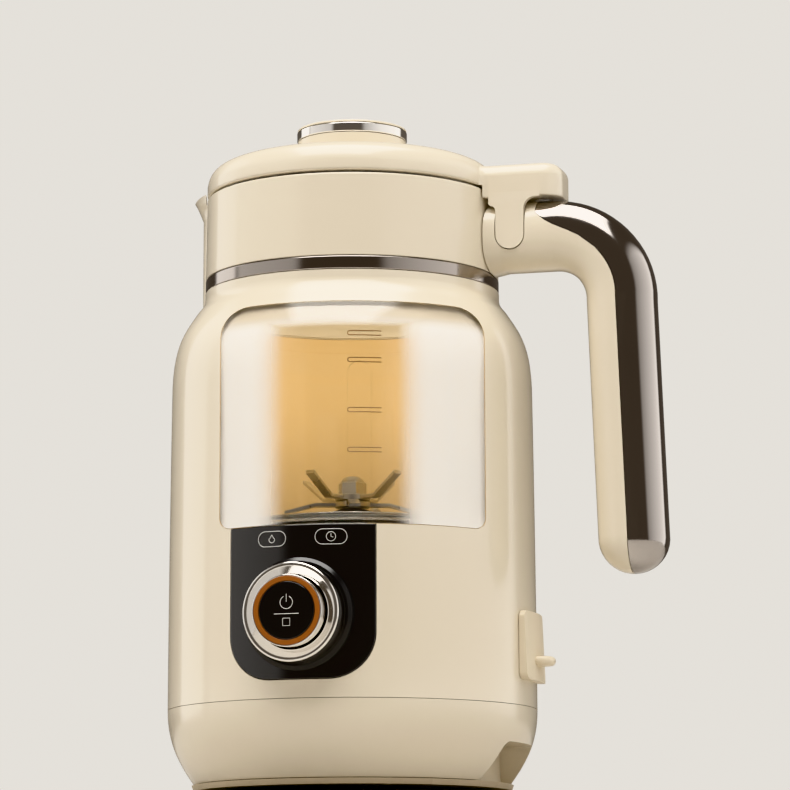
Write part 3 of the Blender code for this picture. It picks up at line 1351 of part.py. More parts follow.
def build_motor(looks, product):
    """The motor hanging under the inner frame on rubber mounts."""
    bore = SHAFT_RADIUS + RUNNING_GAP
    can = [
        (MOTOR_COLLAR_RADIUS, MOTOR_TOP - MOTOR_WALL),
        (MOTOR_RADIUS - MOTOR_WALL, MOTOR_TOP - MOTOR_WALL),
        (MOTOR_RADIUS - MOTOR_WALL, MOTOR_BOTTOM),
        (MOTOR_RADIUS, MOTOR_BOTTOM),
        (MOTOR_RADIUS, MOTOR_TOP - MOTOR_WALL),
        (MOTOR_RADIUS - MOTOR_WALL, MOTOR_TOP),
        (MOTOR_COLLAR_RADIUS, MOTOR_TOP),
    ]
    turned("motor_can", can, looks["steel"], product, SMALL_STEPS)
    bell_top = MOTOR_BOTTOM - FIT_GAP
    bell = tube_outline(bore, MOTOR_RADIUS, bell_top - BELL_THICKNESS, bell_top)
    turned("motor_end_bell", bell, looks["dark_plastic"], product, SMALL_STEPS)
    stator_inner = ROTOR_RADIUS + AIR_GAP
    stator_outer = MOTOR_RADIUS - MOTOR_WALL - FIT_GAP
    stator = tube_outline(stator_inner, stator_outer, STATOR_BOTTOM, STATOR_BOTTOM + STATOR_HEIGHT)
    turned("motor_stator", stator, looks["copper"], product, SMALL_STEPS)
    for number, place in enumerate(spread(MOUNT_COUNT, MOUNT_PLACE), 1):
        mount = rod_outline(MOUNT_RADIUS, MOTOR_TOP + FIT_GAP, FRAME_HEIGHT - FIT_GAP)
        turned(f"motor_mount_{number}", mount, looks["rubber"], product, TINY_STEPS, place=(*place, 0))


def blade(name, span, bend, look, rotor, low, turn):
    """A stamped blade of four wings whose tips are bent along the shaft."""
    hub = turned(name, rod_outline(BLADE_HUB_RADIUS, low, low + BLADE_HUB_HEIGHT), look, rotor, SMALL_STEPS)
    middle = low + BLADE_HUB_HEIGHT / 2
    for number in range(2):
        rings = []
        for share in (-1, -BLADE_KNEE_SHARE, 0, BLADE_KNEE_SHARE, 1):
            rise = bend * max(0, abs(share) - BLADE_KNEE_SHARE) / (1 - BLADE_KNEE_SHARE)
            width = BLADE_ROOT_WIDTH + (BLADE_TIP_WIDTH - BLADE_ROOT_WIDTH) * abs(share)
            half = BLADE_THICKNESS / 2
            edge = width * BLADE_EDGE_SHARE
            height = middle + rise
            along = span * share
            rings.append(
                [
                    (along, -width / 2, height),
                    (along, -edge, height - half),
                    (along, width / 2, height - half),
                    (along, width / 2, height + half),
                    (along, -edge, height + half),
                ]
            )
        wing_turn = turn + QUARTER_TURN * number
        join(hub, loft(f"{name}_wing_form_{number + 1}", rings, None, rotor, turn=(0, 0, wing_turn)))
    bore = rod_outline(SHAFT_RADIUS + FIT_GAP, low - OVERRUN, low + BLADE_HUB_HEIGHT + OVERRUN)
    cut(hub, turned(f"{name}_bore_cutter", bore, None, rotor, SMALL_STEPS))


def build_drive(looks, product, rotor):
    """The shaft and what turns with it, and the bushing and seal that it runs in."""
    bore = SHAFT_RADIUS + RUNNING_GAP
    flange_top = BOSS_BOTTOM - FIT_GAP
    bushing = [
        (bore, flange_top - BUSHING_FLANGE_HEIGHT),
        (BUSHING_FLANGE, flange_top - BUSHING_FLANGE_HEIGHT),
        (BUSHING_FLANGE, flange_top),
        (BUSHING_RADIUS, flange_top),
        (BUSHING_RADIUS, HUB_TOP),
        (bore, HUB_TOP),
    ]
    turned("shaft_bushing", bushing, looks["brass"], product, SMALL_STEPS)
    seal_low = HUB_TOP + FIT_GAP
    seal = [
        (bore, seal_low),
        (SEAL_RADIUS, seal_low),
        (SEAL_RADIUS, seal_low + SEAL_HEIGHT / 2),
        (bore + BAND_EDGE, seal_low + SEAL_HEIGHT),
        (bore, seal_low + SEAL_HEIGHT),
    ]
    turned("shaft_seal", seal, looks["rubber"], product, SMALL_STEPS)
    shaft = rod_outline(SHAFT_RADIUS, SHAFT_BOTTOM, SHAFT_TOP)
    turned("drive_shaft", shaft, looks["steel"], rotor, SMALL_STEPS)
    lower = seal_low + SEAL_HEIGHT + RUNNING_GAP
    upper = lower + BLADE_HUB_HEIGHT + FIT_GAP
    blade("lower_blade", LOWER_BLADE_SPAN, LOWER_BLADE_BEND, looks["steel"], rotor, lower, LOWER_BLADE_TURN)
    blade("upper_blade", UPPER_BLADE_SPAN, UPPER_BLADE_BEND, looks["steel"], rotor, upper, UPPER_BLADE_TURN)
    nut_low = upper + BLADE_HUB_HEIGHT + FIT_GAP
    nut_top = max(nut_low + NUT_HEIGHT, SHAFT_TOP + NUT_DOME)
    nut = [
        (0, SHAFT_TOP + FIT_GAP),
        (SHAFT_RADIUS + FIT_GAP, SHAFT_TOP + FIT_GAP),
        (SHAFT_RADIUS + FIT_GAP, nut_low),
        (NUT_RADIUS, nut_low),
        (NUT_RADIUS, nut_top - NUT_DOME),
        (NUT_RADIUS - NUT_DOME, nut_top),
        (0, nut_top),
    ]
    turned("blade_nut", nut, looks["steel"], rotor, SMALL_STEPS)

    fan_low = SHAFT_BOTTOM + FIT_GAP
    hub_bore = SHAFT_RADIUS + FIT_GAP
    fan_outline = [
        (hub_bore, fan_low),
        (FAN_HUB_RADIUS, fan_low),
        (FAN_HUB_RADIUS, fan_low + FAN_HEIGHT - FAN_DISC),
        (FAN_RADIUS, fan_low + FAN_HEIGHT - FAN_DISC),
        (FAN_RADIUS, fan_low + FAN_HEIGHT),
        (hub_bore, fan_low + FAN_HEIGHT),
    ]
    fan = turned("cooling_fan", fan_outline, looks["dark_plastic"], rotor, SMALL_STEPS)
    vane_start = FAN_HUB_RADIUS - FAN_BLADE_THICKNESS
    vane = box_outline(FAN_BLADE_THICKNESS, vane_start, FAN_RADIUS - FAN_BLADE_THICKNESS)
    for number in range(FAN_BLADES):
        vane_turn = math.tau * number / FAN_BLADES
        high = fan_low + FAN_HEIGHT - FAN_DISC / 2
        join(fan, prism(f"vane_form_{number + 1}", vane, fan_low, high, None, rotor, turn=(0, 0, vane_turn)))
    core = tube_outline(hub_bore, ROTOR_RADIUS, STATOR_BOTTOM, STATOR_BOTTOM + ROTOR_HEIGHT)
    turned("motor_rotor", core, looks["steel"], rotor, SMALL_STEPS)


def build_controls(looks, product, knob, button):
    """The glossy panel, its bezel, the turning ring, the button in it and the boards behind."""
    line = body_line()
    outer = beside(line, -PANEL_PROUD)
    panel_wall = outer + beside(line, PANEL_THICKNESS - PANEL_PROUD)[::-1]
    panel = turned("control_panel", panel_wall, looks["black_gloss"], product)
    outer_end = BODY_RADIUS + OVERRUN
    keep(
        panel,
        outward_prism("panel_form", panel_outline(), FRONT, PANEL_CUT_START, outer_end, None, product),
    )
    board_front = BODY_RADIUS - BOARD_DEPTH
    boss_spread = PANEL_BOSS_SPREAD / 2
    boss_shape = bmesh.new()
    boss_end = BODY_RADIUS - PANEL_THICKNESS / 2
    edge_end = math.sqrt(boss_end**2 - boss_spread**2)
    for side in (-1, 1):
        for level in (-1, 1):
            spot = (boss_spread * side, KNOB_HEIGHT + boss_spread * level)
            boss = circle_outline(PANEL_BOSS_RADIUS, TINY_STEPS, spot)
            add_prism(boss_shape, boss, board_front + FIT_GAP, edge_end)
    join(panel, new_piece("panel_boss_form", boss_shape, None, product, turn=TURN_TO_FRONT))
    tunnel_outline = circle_outline(KNOB_BORE, SMALL_STEPS, (0, KNOB_HEIGHT))
    cut(
        panel,
        outward_prism(
            "knob_tunnel_cutter", tunnel_outline, FRONT, PANEL_CUT_START, outer_end, None, product
        ),
    )

    bezel_outline = [
        (KNOB_BORE, -BEZEL_RADIUS * BEZEL_DEPTH_SHARE),
        (BEZEL_RADIUS, -BEZEL_RADIUS * BEZEL_DEPTH_SHARE),
        (BEZEL_RADIUS, BEZEL_LIFT - BEZEL_EDGE),
        (BEZEL_RADIUS - BEZEL_EDGE, BEZEL_LIFT),
        (KNOB_BORE, BEZEL_LIFT),
    ]
    knob_spot = (0, -BODY_RADIUS, KNOB_HEIGHT)
    bezel = turned(
        "knob_bezel",
        bezel_outline,
        looks["dark_plastic"],
        product,
        MIDDLE_STEPS,
        place=knob_spot,
        turn=TURN_TO_FRONT,
    )
    bezel_back = rod_outline(BODY_RADIUS + PANEL_PROUD + FIT_GAP, BODY_BOTTOM, FRAME_RING_TOP)
    cut(bezel, turned("bezel_back_cutter", bezel_back, None, product))

    tube_inner = KNOB_TUBE_RADIUS - KNOB_TUBE_WALL
    dish_floor = KNOB_RIM - KNOB_DISH_DEPTH
    ring = [
        (tube_inner, -KNOB_TUBE_END),
        (KNOB_TUBE_RADIUS, -KNOB_TUBE_END),
        (KNOB_TUBE_RADIUS, KNOB_BASE_LIFT),
        (KNOB_RADIUS, KNOB_BASE_LIFT),
        (KNOB_RADIUS, KNOB_RIM - KNOB_LIP),
        (KNOB_RADIUS - KNOB_LIP * KNOB_LIP_SHARE, KNOB_RIM - KNOB_LIP * KNOB_LIP_SHARE),
        (KNOB_RADIUS - KNOB_LIP, KNOB_RIM),
        (KNOB_DISH_RADIUS, dish_floor),
        (KNOB_BORE, dish_floor - KNOB_FLARE),
        (KNOB_BORE, KNOB_BASE_LIFT + KNOB_TUBE_WALL),
        (tube_inner, KNOB_BASE_LIFT),
    ]
    turned("selector_ring", ring, looks["chrome"], knob, MIDDLE_STEPS)

    groove_floor = BUTTON_FACE - LIGHT_DEPTH - FIT_GAP
    cap = [
        (0, BUTTON_FACE),
        (LIGHT_INNER - FIT_GAP, BUTTON_FACE),
        (LIGHT_INNER - FIT_GAP, groove_floor),
        (LIGHT_OUTER, groove_floor),
        (LIGHT_OUTER, BUTTON_FACE - BUTTON_EDGE),
        (BUTTON_RADIUS, BUTTON_FACE - BUTTON_EDGE - BUTTON_EDGE),
        (BUTTON_RADIUS, BUTTON_SKIRT),
        (BUTTON_RADIUS - BUTTON_FLOOR, BUTTON_SKIRT),
        (BUTTON_RADIUS - BUTTON_FLOOR, groove_floor - BUTTON_FLOOR),
        (BUTTON_STEM_RADIUS, groove_floor - BUTTON_FLOOR),
        (BUTTON_STEM_RADIUS, -BUTTON_STEM_END),
        (0, -BUTTON_STEM_END),
    ]
    turned("start_button", cap, looks["black_gloss"], button, SMALL_STEPS)
    light = tube_outline(LIGHT_INNER, LIGHT_OUTER - FIT_GAP, groove_floor + FIT_GAP, BUTTON_FACE)
    turned("light_ring", light, looks["amber"], button, SMALL_STEPS)

    encoder_top = -KNOB_TUBE_END + ENCODER_HEIGHT - FIT_GAP
    board_level = -BOARD_DEPTH + FIT_GAP
    encoder = [
        (BUTTON_STEM_RADIUS + RUNNING_GAP, board_level),
        (ENCODER_RADIUS, board_level),
        (ENCODER_RADIUS, encoder_top),
        (KNOB_BORE, encoder_top),
        (KNOB_BORE, -KNOB_TUBE_END - FIT_GAP),
        (BUTTON_STEM_RADIUS + RUNNING_GAP, -KNOB_TUBE_END - FIT_GAP),
    ]
    turned(
        "selector_encoder",
        encoder,
        looks["dark_plastic"],
        product,
        SMALL_STEPS,
        place=knob_spot,
        turn=TURN_TO_FRONT,
    )
    board_outline = box_outline(BOARD_WIDTH, KNOB_HEIGHT - BOARD_HEIGHT / 2, KNOB_HEIGHT + BOARD_HEIGHT / 2)
    green = looks["board_green"]
    outward_prism(
        "control_board", board_outline, FRONT, board_front - BOARD_THICKNESS, board_front, green, product
    )


def build_power(looks, product):
    """The power board hanging behind the motor, with its tallest parts."""
    top = FRAME_HEIGHT - FIT_GAP
    outline = box_outline(POWER_BOARD_WIDTH, top - POWER_BOARD_TALL, top)
    end = POWER_BOARD_PLACE + BOARD_THICKNESS
    green = looks["board_green"]
    board = outward_prism("power_board", outline, REAR, POWER_BOARD_PLACE, end, green, product)
    shape = bmesh.new()
    for share in CAPACITOR_SHARES:
        spot = (POWER_BOARD_WIDTH * share, top - POWER_BOARD_TALL / 2)
        low = POWER_BOARD_PLACE - CAPACITOR_LENGTH
        add_prism(shape, circle_outline(CAPACITOR_RADIUS, TINY_STEPS, spot), low, end - BOARD_THICKNESS / 2)
    capacitors = new_piece("capacitor_form", shape, None, product, turn=(QUARTER_TURN, 0, REAR))
    join(board, capacitors)


def build_inlet(looks, product, hinge, hinge_spot):
    """The mains inlet with its pins, and the soft cover hinged along its top edge."""
    low = INLET_HEIGHT - INLET_TALL / 2
    high = INLET_HEIGHT + INLET_TALL / 2
    outline = box_outline(INLET_WIDTH, low, high, INLET_CORNER, INLET_CORNER)
    start = INLET_FRONT - INLET_LENGTH
    plastic = looks["dark_plastic"]
    socket = outward_prism("inlet_socket", outline, HANDLE_SIDE, start, INLET_FRONT, plastic, product)
    recess_low = INLET_HEIGHT - RECESS_TALL / 2
    recess_high = INLET_HEIGHT + RECESS_TALL / 2
    recess = box_outline(RECESS_WIDTH, recess_low, recess_high, 0, INLET_CORNER)
    floor = INLET_FRONT - RECESS_DEPTH
    cut(
        socket,
        outward_prism("recess_cutter", recess, HANDLE_SIDE, floor, INLET_FRONT + OVERRUN, None, product),
    )
    rises = (PIN_OFFSET, -PIN_OFFSET, PIN_OFFSET)
    for number, rise in enumerate(rises, 1):
        across = PIN_SPACING * (number - 2)
        blank = box_outline(PIN_TALL, -PIN_WIDTH / 2, PIN_WIDTH / 2)
        pin = [(across + x, INLET_HEIGHT - rise + z) for x, z in blank]
        pin_start = floor + FIT_GAP
        pin_end = pin_start + PIN_LENGTH
        outward_prism(f"inlet_pin_{number}", pin, HANDLE_SIDE, pin_start, pin_end, looks["brass"], product)

    back = radius_at(body_line(), INLET_HEIGHT - FLAP_TALL / 2) + FIT_GAP
    front = back + FLAP_THICKNESS
    flap_ring = [
        (back, INLET_HEIGHT - FLAP_TALL / 2),
        (front, INLET_HEIGHT - FLAP_TALL / 2),
        (front - FLAP_DRAFT, INLET_HEIGHT + FLAP_TALL / 2),
        (back, INLET_HEIGHT + FLAP_TALL / 2),
    ]
    local = (-hinge_spot[0], -hinge_spot[1], -hinge_spot[2])
    flap = turned("inlet_cover", flap_ring, looks["silicone_cream"], hinge, place=local)

    def flap_section(inset, reach):
        half = FLAP_WIDTH / 2 - inset
        corners = rounded(
            [
                (-half, INLET_HEIGHT - FLAP_TALL / 2 + inset, FLAP_CORNER),
                (half, INLET_HEIGHT - FLAP_TALL / 2 + inset, FLAP_CORNER),
                (half, INLET_HEIGHT + FLAP_TALL / 2 - inset, FLAP_CORNER),
                (-half, INLET_HEIGHT + FLAP_TALL / 2 - inset, FLAP_CORNER),
            ]
        )
        return [(reach, across, height) for across, height in corners]

    edge = math.sqrt(front**2 - (FLAP_WIDTH / 2) ** 2)
    levels = ((0, BAY_BACK), (0, edge - FLAP_BEVEL), (FLAP_BEVEL, front + WELD))
    rings = [flap_section(inset, reach) for inset, reach in levels]
    keep(flap, loft("flap_form", rings, None, hinge, place=local))
    tab_plan = rounded(
        [
            (back + FLAP_THICKNESS / 2, -TAB_WIDTH / 2, 0),
            (TAB_REACH, -TAB_WIDTH / 2, TAB_CORNER),
            (TAB_REACH, TAB_WIDTH / 2, TAB_CORNER),
            (back + FLAP_THICKNESS / 2, TAB_WIDTH / 2, 0),
        ]
    )
    tab_low = TAB_HEIGHT - TAB_THICKNESS / 2
    join(flap, prism("pull_tab_form", tab_plan, tab_low, tab_low + TAB_THICKNESS, None, hinge, place=local))


def build_all():
    clear_scene()
    looks = {
        "cream": new_look("cream_plastic", (0.76, 0.68, 0.54), 0.28),
        "shadow_cream": new_look("bottom_plastic", (0.62, 0.54, 0.41), 0.45),
        "white_plastic": new_look("white_plastic", (0.82, 0.81, 0.78), 0.45),
        "dark_plastic": new_look("dark_plastic", (0.03, 0.03, 0.03), 0.45),
        "black_gloss": new_look("black_gloss", (0.01, 0.01, 0.012), 0.08),
        "clear": new_look("clear_plastic", (0.95, 0.95, 0.93), 0.03, transmission=1.0),
        "chrome": new_look("polished_chrome", (0.85, 0.84, 0.82), 0.06, 1.0),
        "dark_chrome": new_look("dark_chrome", (0.42, 0.37, 0.34), 0.10, 1.0),
        "warm_metal": new_look("warm_sleeve", (0.74, 0.53, 0.31), 0.35, 0.6),
        "steel": new_look("brushed_steel", (0.60, 0.60, 0.58), 0.30, 1.0),
        "brass": new_look("brass", (0.74, 0.58, 0.30), 0.30, 1.0),
        "copper": new_look("copper_winding", (0.66, 0.33, 0.18), 0.40, 1.0),
        "rubber": new_look("black_rubber", (0.04, 0.04, 0.04), 0.80),
        "silicone": new_look("clear_silicone", (0.78, 0.77, 0.73), 0.50),
        "silicone_cream": new_look("cream_silicone", (0.78, 0.71, 0.58), 0.50),
        "amber": new_look("amber_light_guide", (0.85, 0.36, 0.06), 0.30),
        "board_green": new_look("circuit_board", (0.05, 0.22, 0.11), 0.50),
    }
    product = new_anchor("product", PRODUCT_PLACE)
    lid = new_anchor("lid_lift", (0, 0, 0), parent=product)
    rotor = new_anchor("rotor_axis", (0, 0, 0), parent=product)
    knob_spot = (0, -BODY_RADIUS, KNOB_HEIGHT)
    knob = new_anchor("selector_axis", knob_spot, TURN_TO_FRONT, product)
    button = new_anchor("button_axis", knob_spot, TURN_TO_FRONT, product)
    hinge_across = radius_at(body_line(), INLET_HEIGHT) + FIT_GAP + FLAP_HINGE_DROP
    hinge_spot = (hinge_across, 0, INLET_HEIGHT + FLAP_TALL / 2)
    hinge = new_anchor("inlet_cover_hinge", hinge_spot, parent=product)
    build_base(looks, product)
    build_body(looks, product)
    screw_tunnel = build_collar(looks, product)
    build_handle(looks, product, screw_tunnel)
    build_lid(looks, lid)
    build_jar(looks, product)
    build_frame(looks, product)
    build_motor(looks, product)
    build_drive(looks, product, rotor)
    build_controls(looks, product, knob, button)
    build_power(looks, product)
    build_inlet(looks, product, hinge, hinge_spot)


build_all()
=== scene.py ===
from math import acos, atan2, copysign, cos, hypot, pi, radians, sin, sqrt, tan

import bpy
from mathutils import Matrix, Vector


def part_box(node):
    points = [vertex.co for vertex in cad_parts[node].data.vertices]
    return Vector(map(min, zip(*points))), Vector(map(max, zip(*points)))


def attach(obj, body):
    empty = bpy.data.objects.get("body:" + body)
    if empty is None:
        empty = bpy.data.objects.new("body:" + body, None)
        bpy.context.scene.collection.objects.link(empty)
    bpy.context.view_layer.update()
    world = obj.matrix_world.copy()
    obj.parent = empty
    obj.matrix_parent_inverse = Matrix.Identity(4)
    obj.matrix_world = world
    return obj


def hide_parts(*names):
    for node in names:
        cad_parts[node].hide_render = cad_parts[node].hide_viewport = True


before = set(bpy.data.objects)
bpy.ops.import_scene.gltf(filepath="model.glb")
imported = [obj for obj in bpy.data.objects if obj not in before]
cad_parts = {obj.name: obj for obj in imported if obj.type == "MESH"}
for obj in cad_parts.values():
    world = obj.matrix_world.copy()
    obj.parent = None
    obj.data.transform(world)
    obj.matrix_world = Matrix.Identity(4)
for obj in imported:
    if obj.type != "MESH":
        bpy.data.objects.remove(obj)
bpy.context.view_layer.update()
mm = 0.001

# The middle of the round body; every piece is drawn from it in millimetres
bodyLow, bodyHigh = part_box("body_shell")
axisX, axisY = (bodyLow.x + bodyHigh.x) / 2, (bodyLow.y + bodyHigh.y) / 2
print("frame loaded:", len(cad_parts), "nodes")


def at(x, y, z):
    return Vector((axisX + x * mm, axisY + y * mm, z * mm))


# Camera at the photograph's angle, a little below the jug's foot
photoView = {
    "place": (449.4, -1526.8, -81.2),
    "tilt": 98.98,
    "roll": 0.16,
    "turn": 15.77,
    "lens": 171.6,
    "sensor": 36,
}
bpy.ops.object.select_all(action="DESELECT")
bpy.ops.object.camera_add(
    location=at(*photoView["place"]),
    rotation=(radians(photoView["tilt"]), radians(photoView["roll"]), radians(photoView["turn"])),
)
camera = bpy.context.object
camera.data.lens = photoView["lens"]
camera.data.sensor_width = photoView["sensor"]
camera.data.clip_start, camera.data.clip_end = 0.01, 30
bpy.context.scene.camera = camera
bpy.context.scene.view_settings.view_transform = "Khronos PBR Neutral"


# Shader helpers
def addNode(tree, kind, inputs=None, **settings):
    node = tree.nodes.new(kind)
    for name, value in settings.items():
        setattr(node, name, value)
    for name, value in (inputs or {}).items():
        node.inputs[name].default_value = value
    return node


# Each link is a node, its output, the next node and its input
def plug(tree, *links):
    for node, output, target, socket in links:
        tree.links.new(node.outputs[output], target.inputs[socket])


def newGroup(name, takes, gives):
    group = bpy.data.node_groups.new(name, "ShaderNodeTree")
    for socket, kind, value in takes:
        made = group.interface.new_socket(name=socket, in_out="INPUT", socket_type=kind)
        made.default_value = value
    for socket, kind in gives:
        group.interface.new_socket(name=socket, in_out="OUTPUT", socket_type=kind)
    return group, addNode(group, "NodeGroupInput"), addNode(group, "NodeGroupOutput")


# Colour drift, roughness smudges and moulding grain, used by every finish
def makeSurfaceDetail():
    colour, number = "NodeSocketColor", "NodeSocketFloat"
    group, start, end = newGroup(
        "surfaceDetail",
        [
            ("Base", colour, (0.8, 0.8, 0.8, 1)),
            ("Drift", colour, (0.7, 0.7, 0.7, 1)),
            ("Drift Amount", number, 0.3),
            ("Cloud Scale", number, 14),
            ("Grain Scale", number, 1500),
            ("Rough Low", number, 0.2),
            ("Rough High", number, 0.3),
        ],
        [("Color", colour), ("Roughness", number), ("Height", number)],
    )
    place = addNode(group, "ShaderNodeTexCoord")
    cloud = addNode(group, "ShaderNodeTexNoise", {"Detail": 3, "Roughness": 0.55})
    smudge = addNode(group, "ShaderNodeTexNoise", {"Scale": 38, "Detail": 3})
    grain = addNode(group, "ShaderNodeTexNoise", {"Detail": 2})
    spread = addNode(group, "ShaderNodeMapRange", {"From Min": 0.35, "From Max": 0.65, "To Max": 1})
    amount = addNode(group, "ShaderNodeMath", operation="MULTIPLY")
    blend = addNode(group, "ShaderNodeMix", data_type="RGBA")
    rough = addNode(group, "ShaderNodeMapRange", {"From Min": 0.3, "From Max": 0.7})
    for noise in (cloud, smudge, grain):
        plug(group, (place, "Object", noise, "Vector"))
    plug(
        group,
        (start, "Cloud Scale", cloud, "Scale"), (start, "Grain Scale", grain, "Scale"),
        (cloud, "Fac", spread, "Value"), (spread, "Result", amount, 0),
        (start, "Drift Amount", amount, 1), (amount, "Value", blend, "Factor"),
        (start, "Base", blend, "A"), (start, "Drift", blend, "B"), (smudge, "Fac", rough, "Value"),
        (start, "Rough Low", rough, "To Min"), (start, "Rough High", rough, "To Max"),
        (blend, "Result", end, "Color"), (rough, "Result", end, "Roughness"),
        (grain, "Fac", end, "Height"),
    )
    return group


# Dust that settles on faces that look up, and lighter sharp edges, partly rubbed wear and partly painted
# highlight
def makeEdgeAndDust():
    colour, number = "NodeSocketColor", "NodeSocketFloat"
    group, start, end = newGroup(
        "edgeAndDust",
        [
            ("Color", colour, (0.8, 0.8, 0.8, 1)),
            ("Edge Color", colour, (0.9, 0.9, 0.9, 1)),
            ("Edge Amount", number, 0.3),
            ("Dust Amount", number, 0.05),
        ],
        [("Color", colour), ("Dust", number)],
    )
    place = addNode(group, "ShaderNodeTexCoord")
    shape = addNode(group, "ShaderNodeNewGeometry")
    # Sharp convex edges take the edge colour: partly rubbed wear, partly painted edge highlight
    edge = addNode(group, "ShaderNodeMapRange", {"From Min": 0.51, "From Max": 0.58, "To Max": 1})
    edgeShare = addNode(group, "ShaderNodeMath", operation="MULTIPLY")
    edgeWearAndSheen = addNode(group, "ShaderNodeMix", data_type="RGBA")
    parts = addNode(group, "ShaderNodeSeparateXYZ")
    speck = addNode(group, "ShaderNodeTexNoise", {"Scale": 420, "Detail": 3})
    specks = addNode(group, "ShaderNodeMapRange", {"From Min": 0.5, "From Max": 0.75, "To Max": 1})
    upward = addNode(group, "ShaderNodeMath", operation="MULTIPLY", use_clamp=True)
    dustShare = addNode(group, "ShaderNodeMath", operation="MULTIPLY", use_clamp=True)
    dusty = addNode(group, "ShaderNodeMix", {"B": (0.62, 0.58, 0.52, 1)}, data_type="RGBA")
    plug(
        group,
        (shape, "Pointiness", edge, "Value"), (edge, "Result", edgeShare, 0),
        (start, "Edge Amount", edgeShare, 1), (edgeShare, "Value", edgeWearAndSheen, "Factor"),
        (start, "Color", edgeWearAndSheen, "A"), (start, "Edge Color", edgeWearAndSheen, "B"), (shape, "Normal", parts, "Vector"),
        (place, "Object", speck, "Vector"), (speck, "Fac", specks, "Value"), (parts, "Z", upward, 0),
        (specks, "Result", upward, 1), (upward, "Value", dustShare, 0),
        (start, "Dust Amount", dustShare, 1), (dustShare, "Value", dusty, "Factor"),
        (edgeWearAndSheen, "Result", dusty, "A"), (dusty, "Result", end, "Color"), (dustShare, "Value", end, "Dust"),
    )
    return group


surfaceDetail = makeSurfaceDetail()
edgeAndDust = makeEdgeAndDust()


# A finish: colour, drift, two roughness ends, grain and what else its shader takes
def newFinish(name, base, drift, rough, driftAmount=0.4, cloud=14, grain=1500, bump=0.02, edge=0.0,
              edgeColour=None, dust=0.03, shader=None):
    look = bpy.data.materials.new(name)
    look.use_nodes = True
    tree = look.node_tree
    main = tree.nodes["Principled BSDF"]
    detail = addNode(tree, "ShaderNodeGroup", node_tree=surfaceDetail)
    values = {
        "Base": (*base, 1),
        "Drift": (*drift, 1),
        "Drift Amount": driftAmount,
        "Cloud Scale": cloud,
        "Grain Scale": grain,
        "Rough Low": rough[0],
        "Rough High": rough[1],
    }
    for socket, value in values.items():
        detail.inputs[socket].default_value = value
    # The edge colour lightens sharp edges, partly as rubbed wear and partly as painted highlight; the dust
    # is real
    wearSheenAndDust = addNode(tree, "ShaderNodeGroup", node_tree=edgeAndDust)
    wearSheenAndDust.inputs["Edge Color"].default_value = (*(edgeColour or base), 1)
    wearSheenAndDust.inputs["Edge Amount"].default_value = edge
    wearSheenAndDust.inputs["Dust Amount"].default_value = dust
    relief = addNode(tree, "ShaderNodeBump", {"Strength": bump, "Distance": 0.0002})
    plug(
        tree,
        (detail, "Color", wearSheenAndDust, "Color"), (wearSheenAndDust, "Color", main, "Base Color"),
        (detail, "Roughness", main, "Roughness"), (detail, "Height", relief, "Height"),
        (relief, "Normal", main, "Normal"),
    )
    for socket, value in (shader or {}).items():
        main.inputs[socket].default_value = value
    return look


# Clear plastic lets the lamps through, so that what stands behind it is lit
def newClear(name, tint, rough, ior, grain=240, bump=0.01):
    look = newFinish(
        name, tint, tint, rough, driftAmount=0.1, cloud=30, grain=grain, bump=bump, dust=0.0,
        shader={"Transmission Weight": 1.0, "IOR": ior},
    )
    tree = look.node_tree
    main, out = tree.nodes["Principled BSDF"], tree.nodes["Material Output"]
    ray = addNode(tree, "ShaderNodeLightPath")
    through = addNode(tree, "ShaderNodeBsdfTransparent", {"Color": (*tint, 1)})
    mix = addNode(tree, "ShaderNodeMixShader")
    plug(
        tree,
        (ray, "Is Shadow Ray", mix, "Fac"), (main, "BSDF", mix, 1), (through, "BSDF", mix, 2),
        (mix, "Shader", out, "Surface"),
    )
    return look


# Share of frosting: none over the window's middle, more towards its top as the window's fade, and more
# towards its sides as a whitening that is painted reflection
def makeFrostAndSheenMask():
    number = "NodeSocketFloat"
    group, start, end = newGroup(
        "frostAndSheenMask",
        [("Turn", number, 16.5), ("Shift", number, 0.005), ("Clear Half", number, 0.022),
         ("Side Half", number, 0.037), ("Side Share", number, 0.76), ("Clear Top", number, 0.187),
         ("Top", number, 0.193)],
        [("Share", number), ("Upper", number)],
    )
    place = addNode(group, "ShaderNodeTexCoord")
    parts = addNode(group, "ShaderNodeSeparateXYZ")
    moved = addNode(group, "ShaderNodeMapping", vector_type="TEXTURE")
    moved.inputs["Location"].default_value = (axisX, axisY, 0)
    turn = addNode(group, "ShaderNodeCombineXYZ")
    angle = addNode(group, "ShaderNodeMath", operation="RADIANS")
    shifted = addNode(group, "ShaderNodeMath", operation="ADD")
    across = addNode(group, "ShaderNodeMath", operation="ABSOLUTE")
    side = addNode(group, "ShaderNodeMapRange", interpolation_type="SMOOTHSTEP")
    upper = addNode(group, "ShaderNodeMapRange", {"To Max": 1}, interpolation_type="SMOOTHSTEP")
    most = addNode(group, "ShaderNodeMath", operation="MAXIMUM")
    plug(
        group,
        (place, "Object", moved, "Vector"), (start, "Turn", angle, 0), (angle, "Value", turn, "Z"),
        (turn, "Vector", moved, "Rotation"), (moved, "Vector", parts, "Vector"), (parts, "X", shifted, 0),
        (start, "Shift", shifted, 1), (shifted, "Value", across, 0), (across, "Value", side, "Value"),
        (start, "Clear Half", side, "From Min"), (start, "Side Half", side, "From Max"),
        (start, "Side Share", side, "To Max"), (parts, "Z", upper, "Value"),
        (start, "Clear Top", upper, "From Min"), (start, "Top", upper, "From Max"),
        (side, "Result", most, 0), (upper, "Result", most, 1), (most, "Value", end, "Share"),
        (upper, "Result", end, "Upper"),
    )
    return group
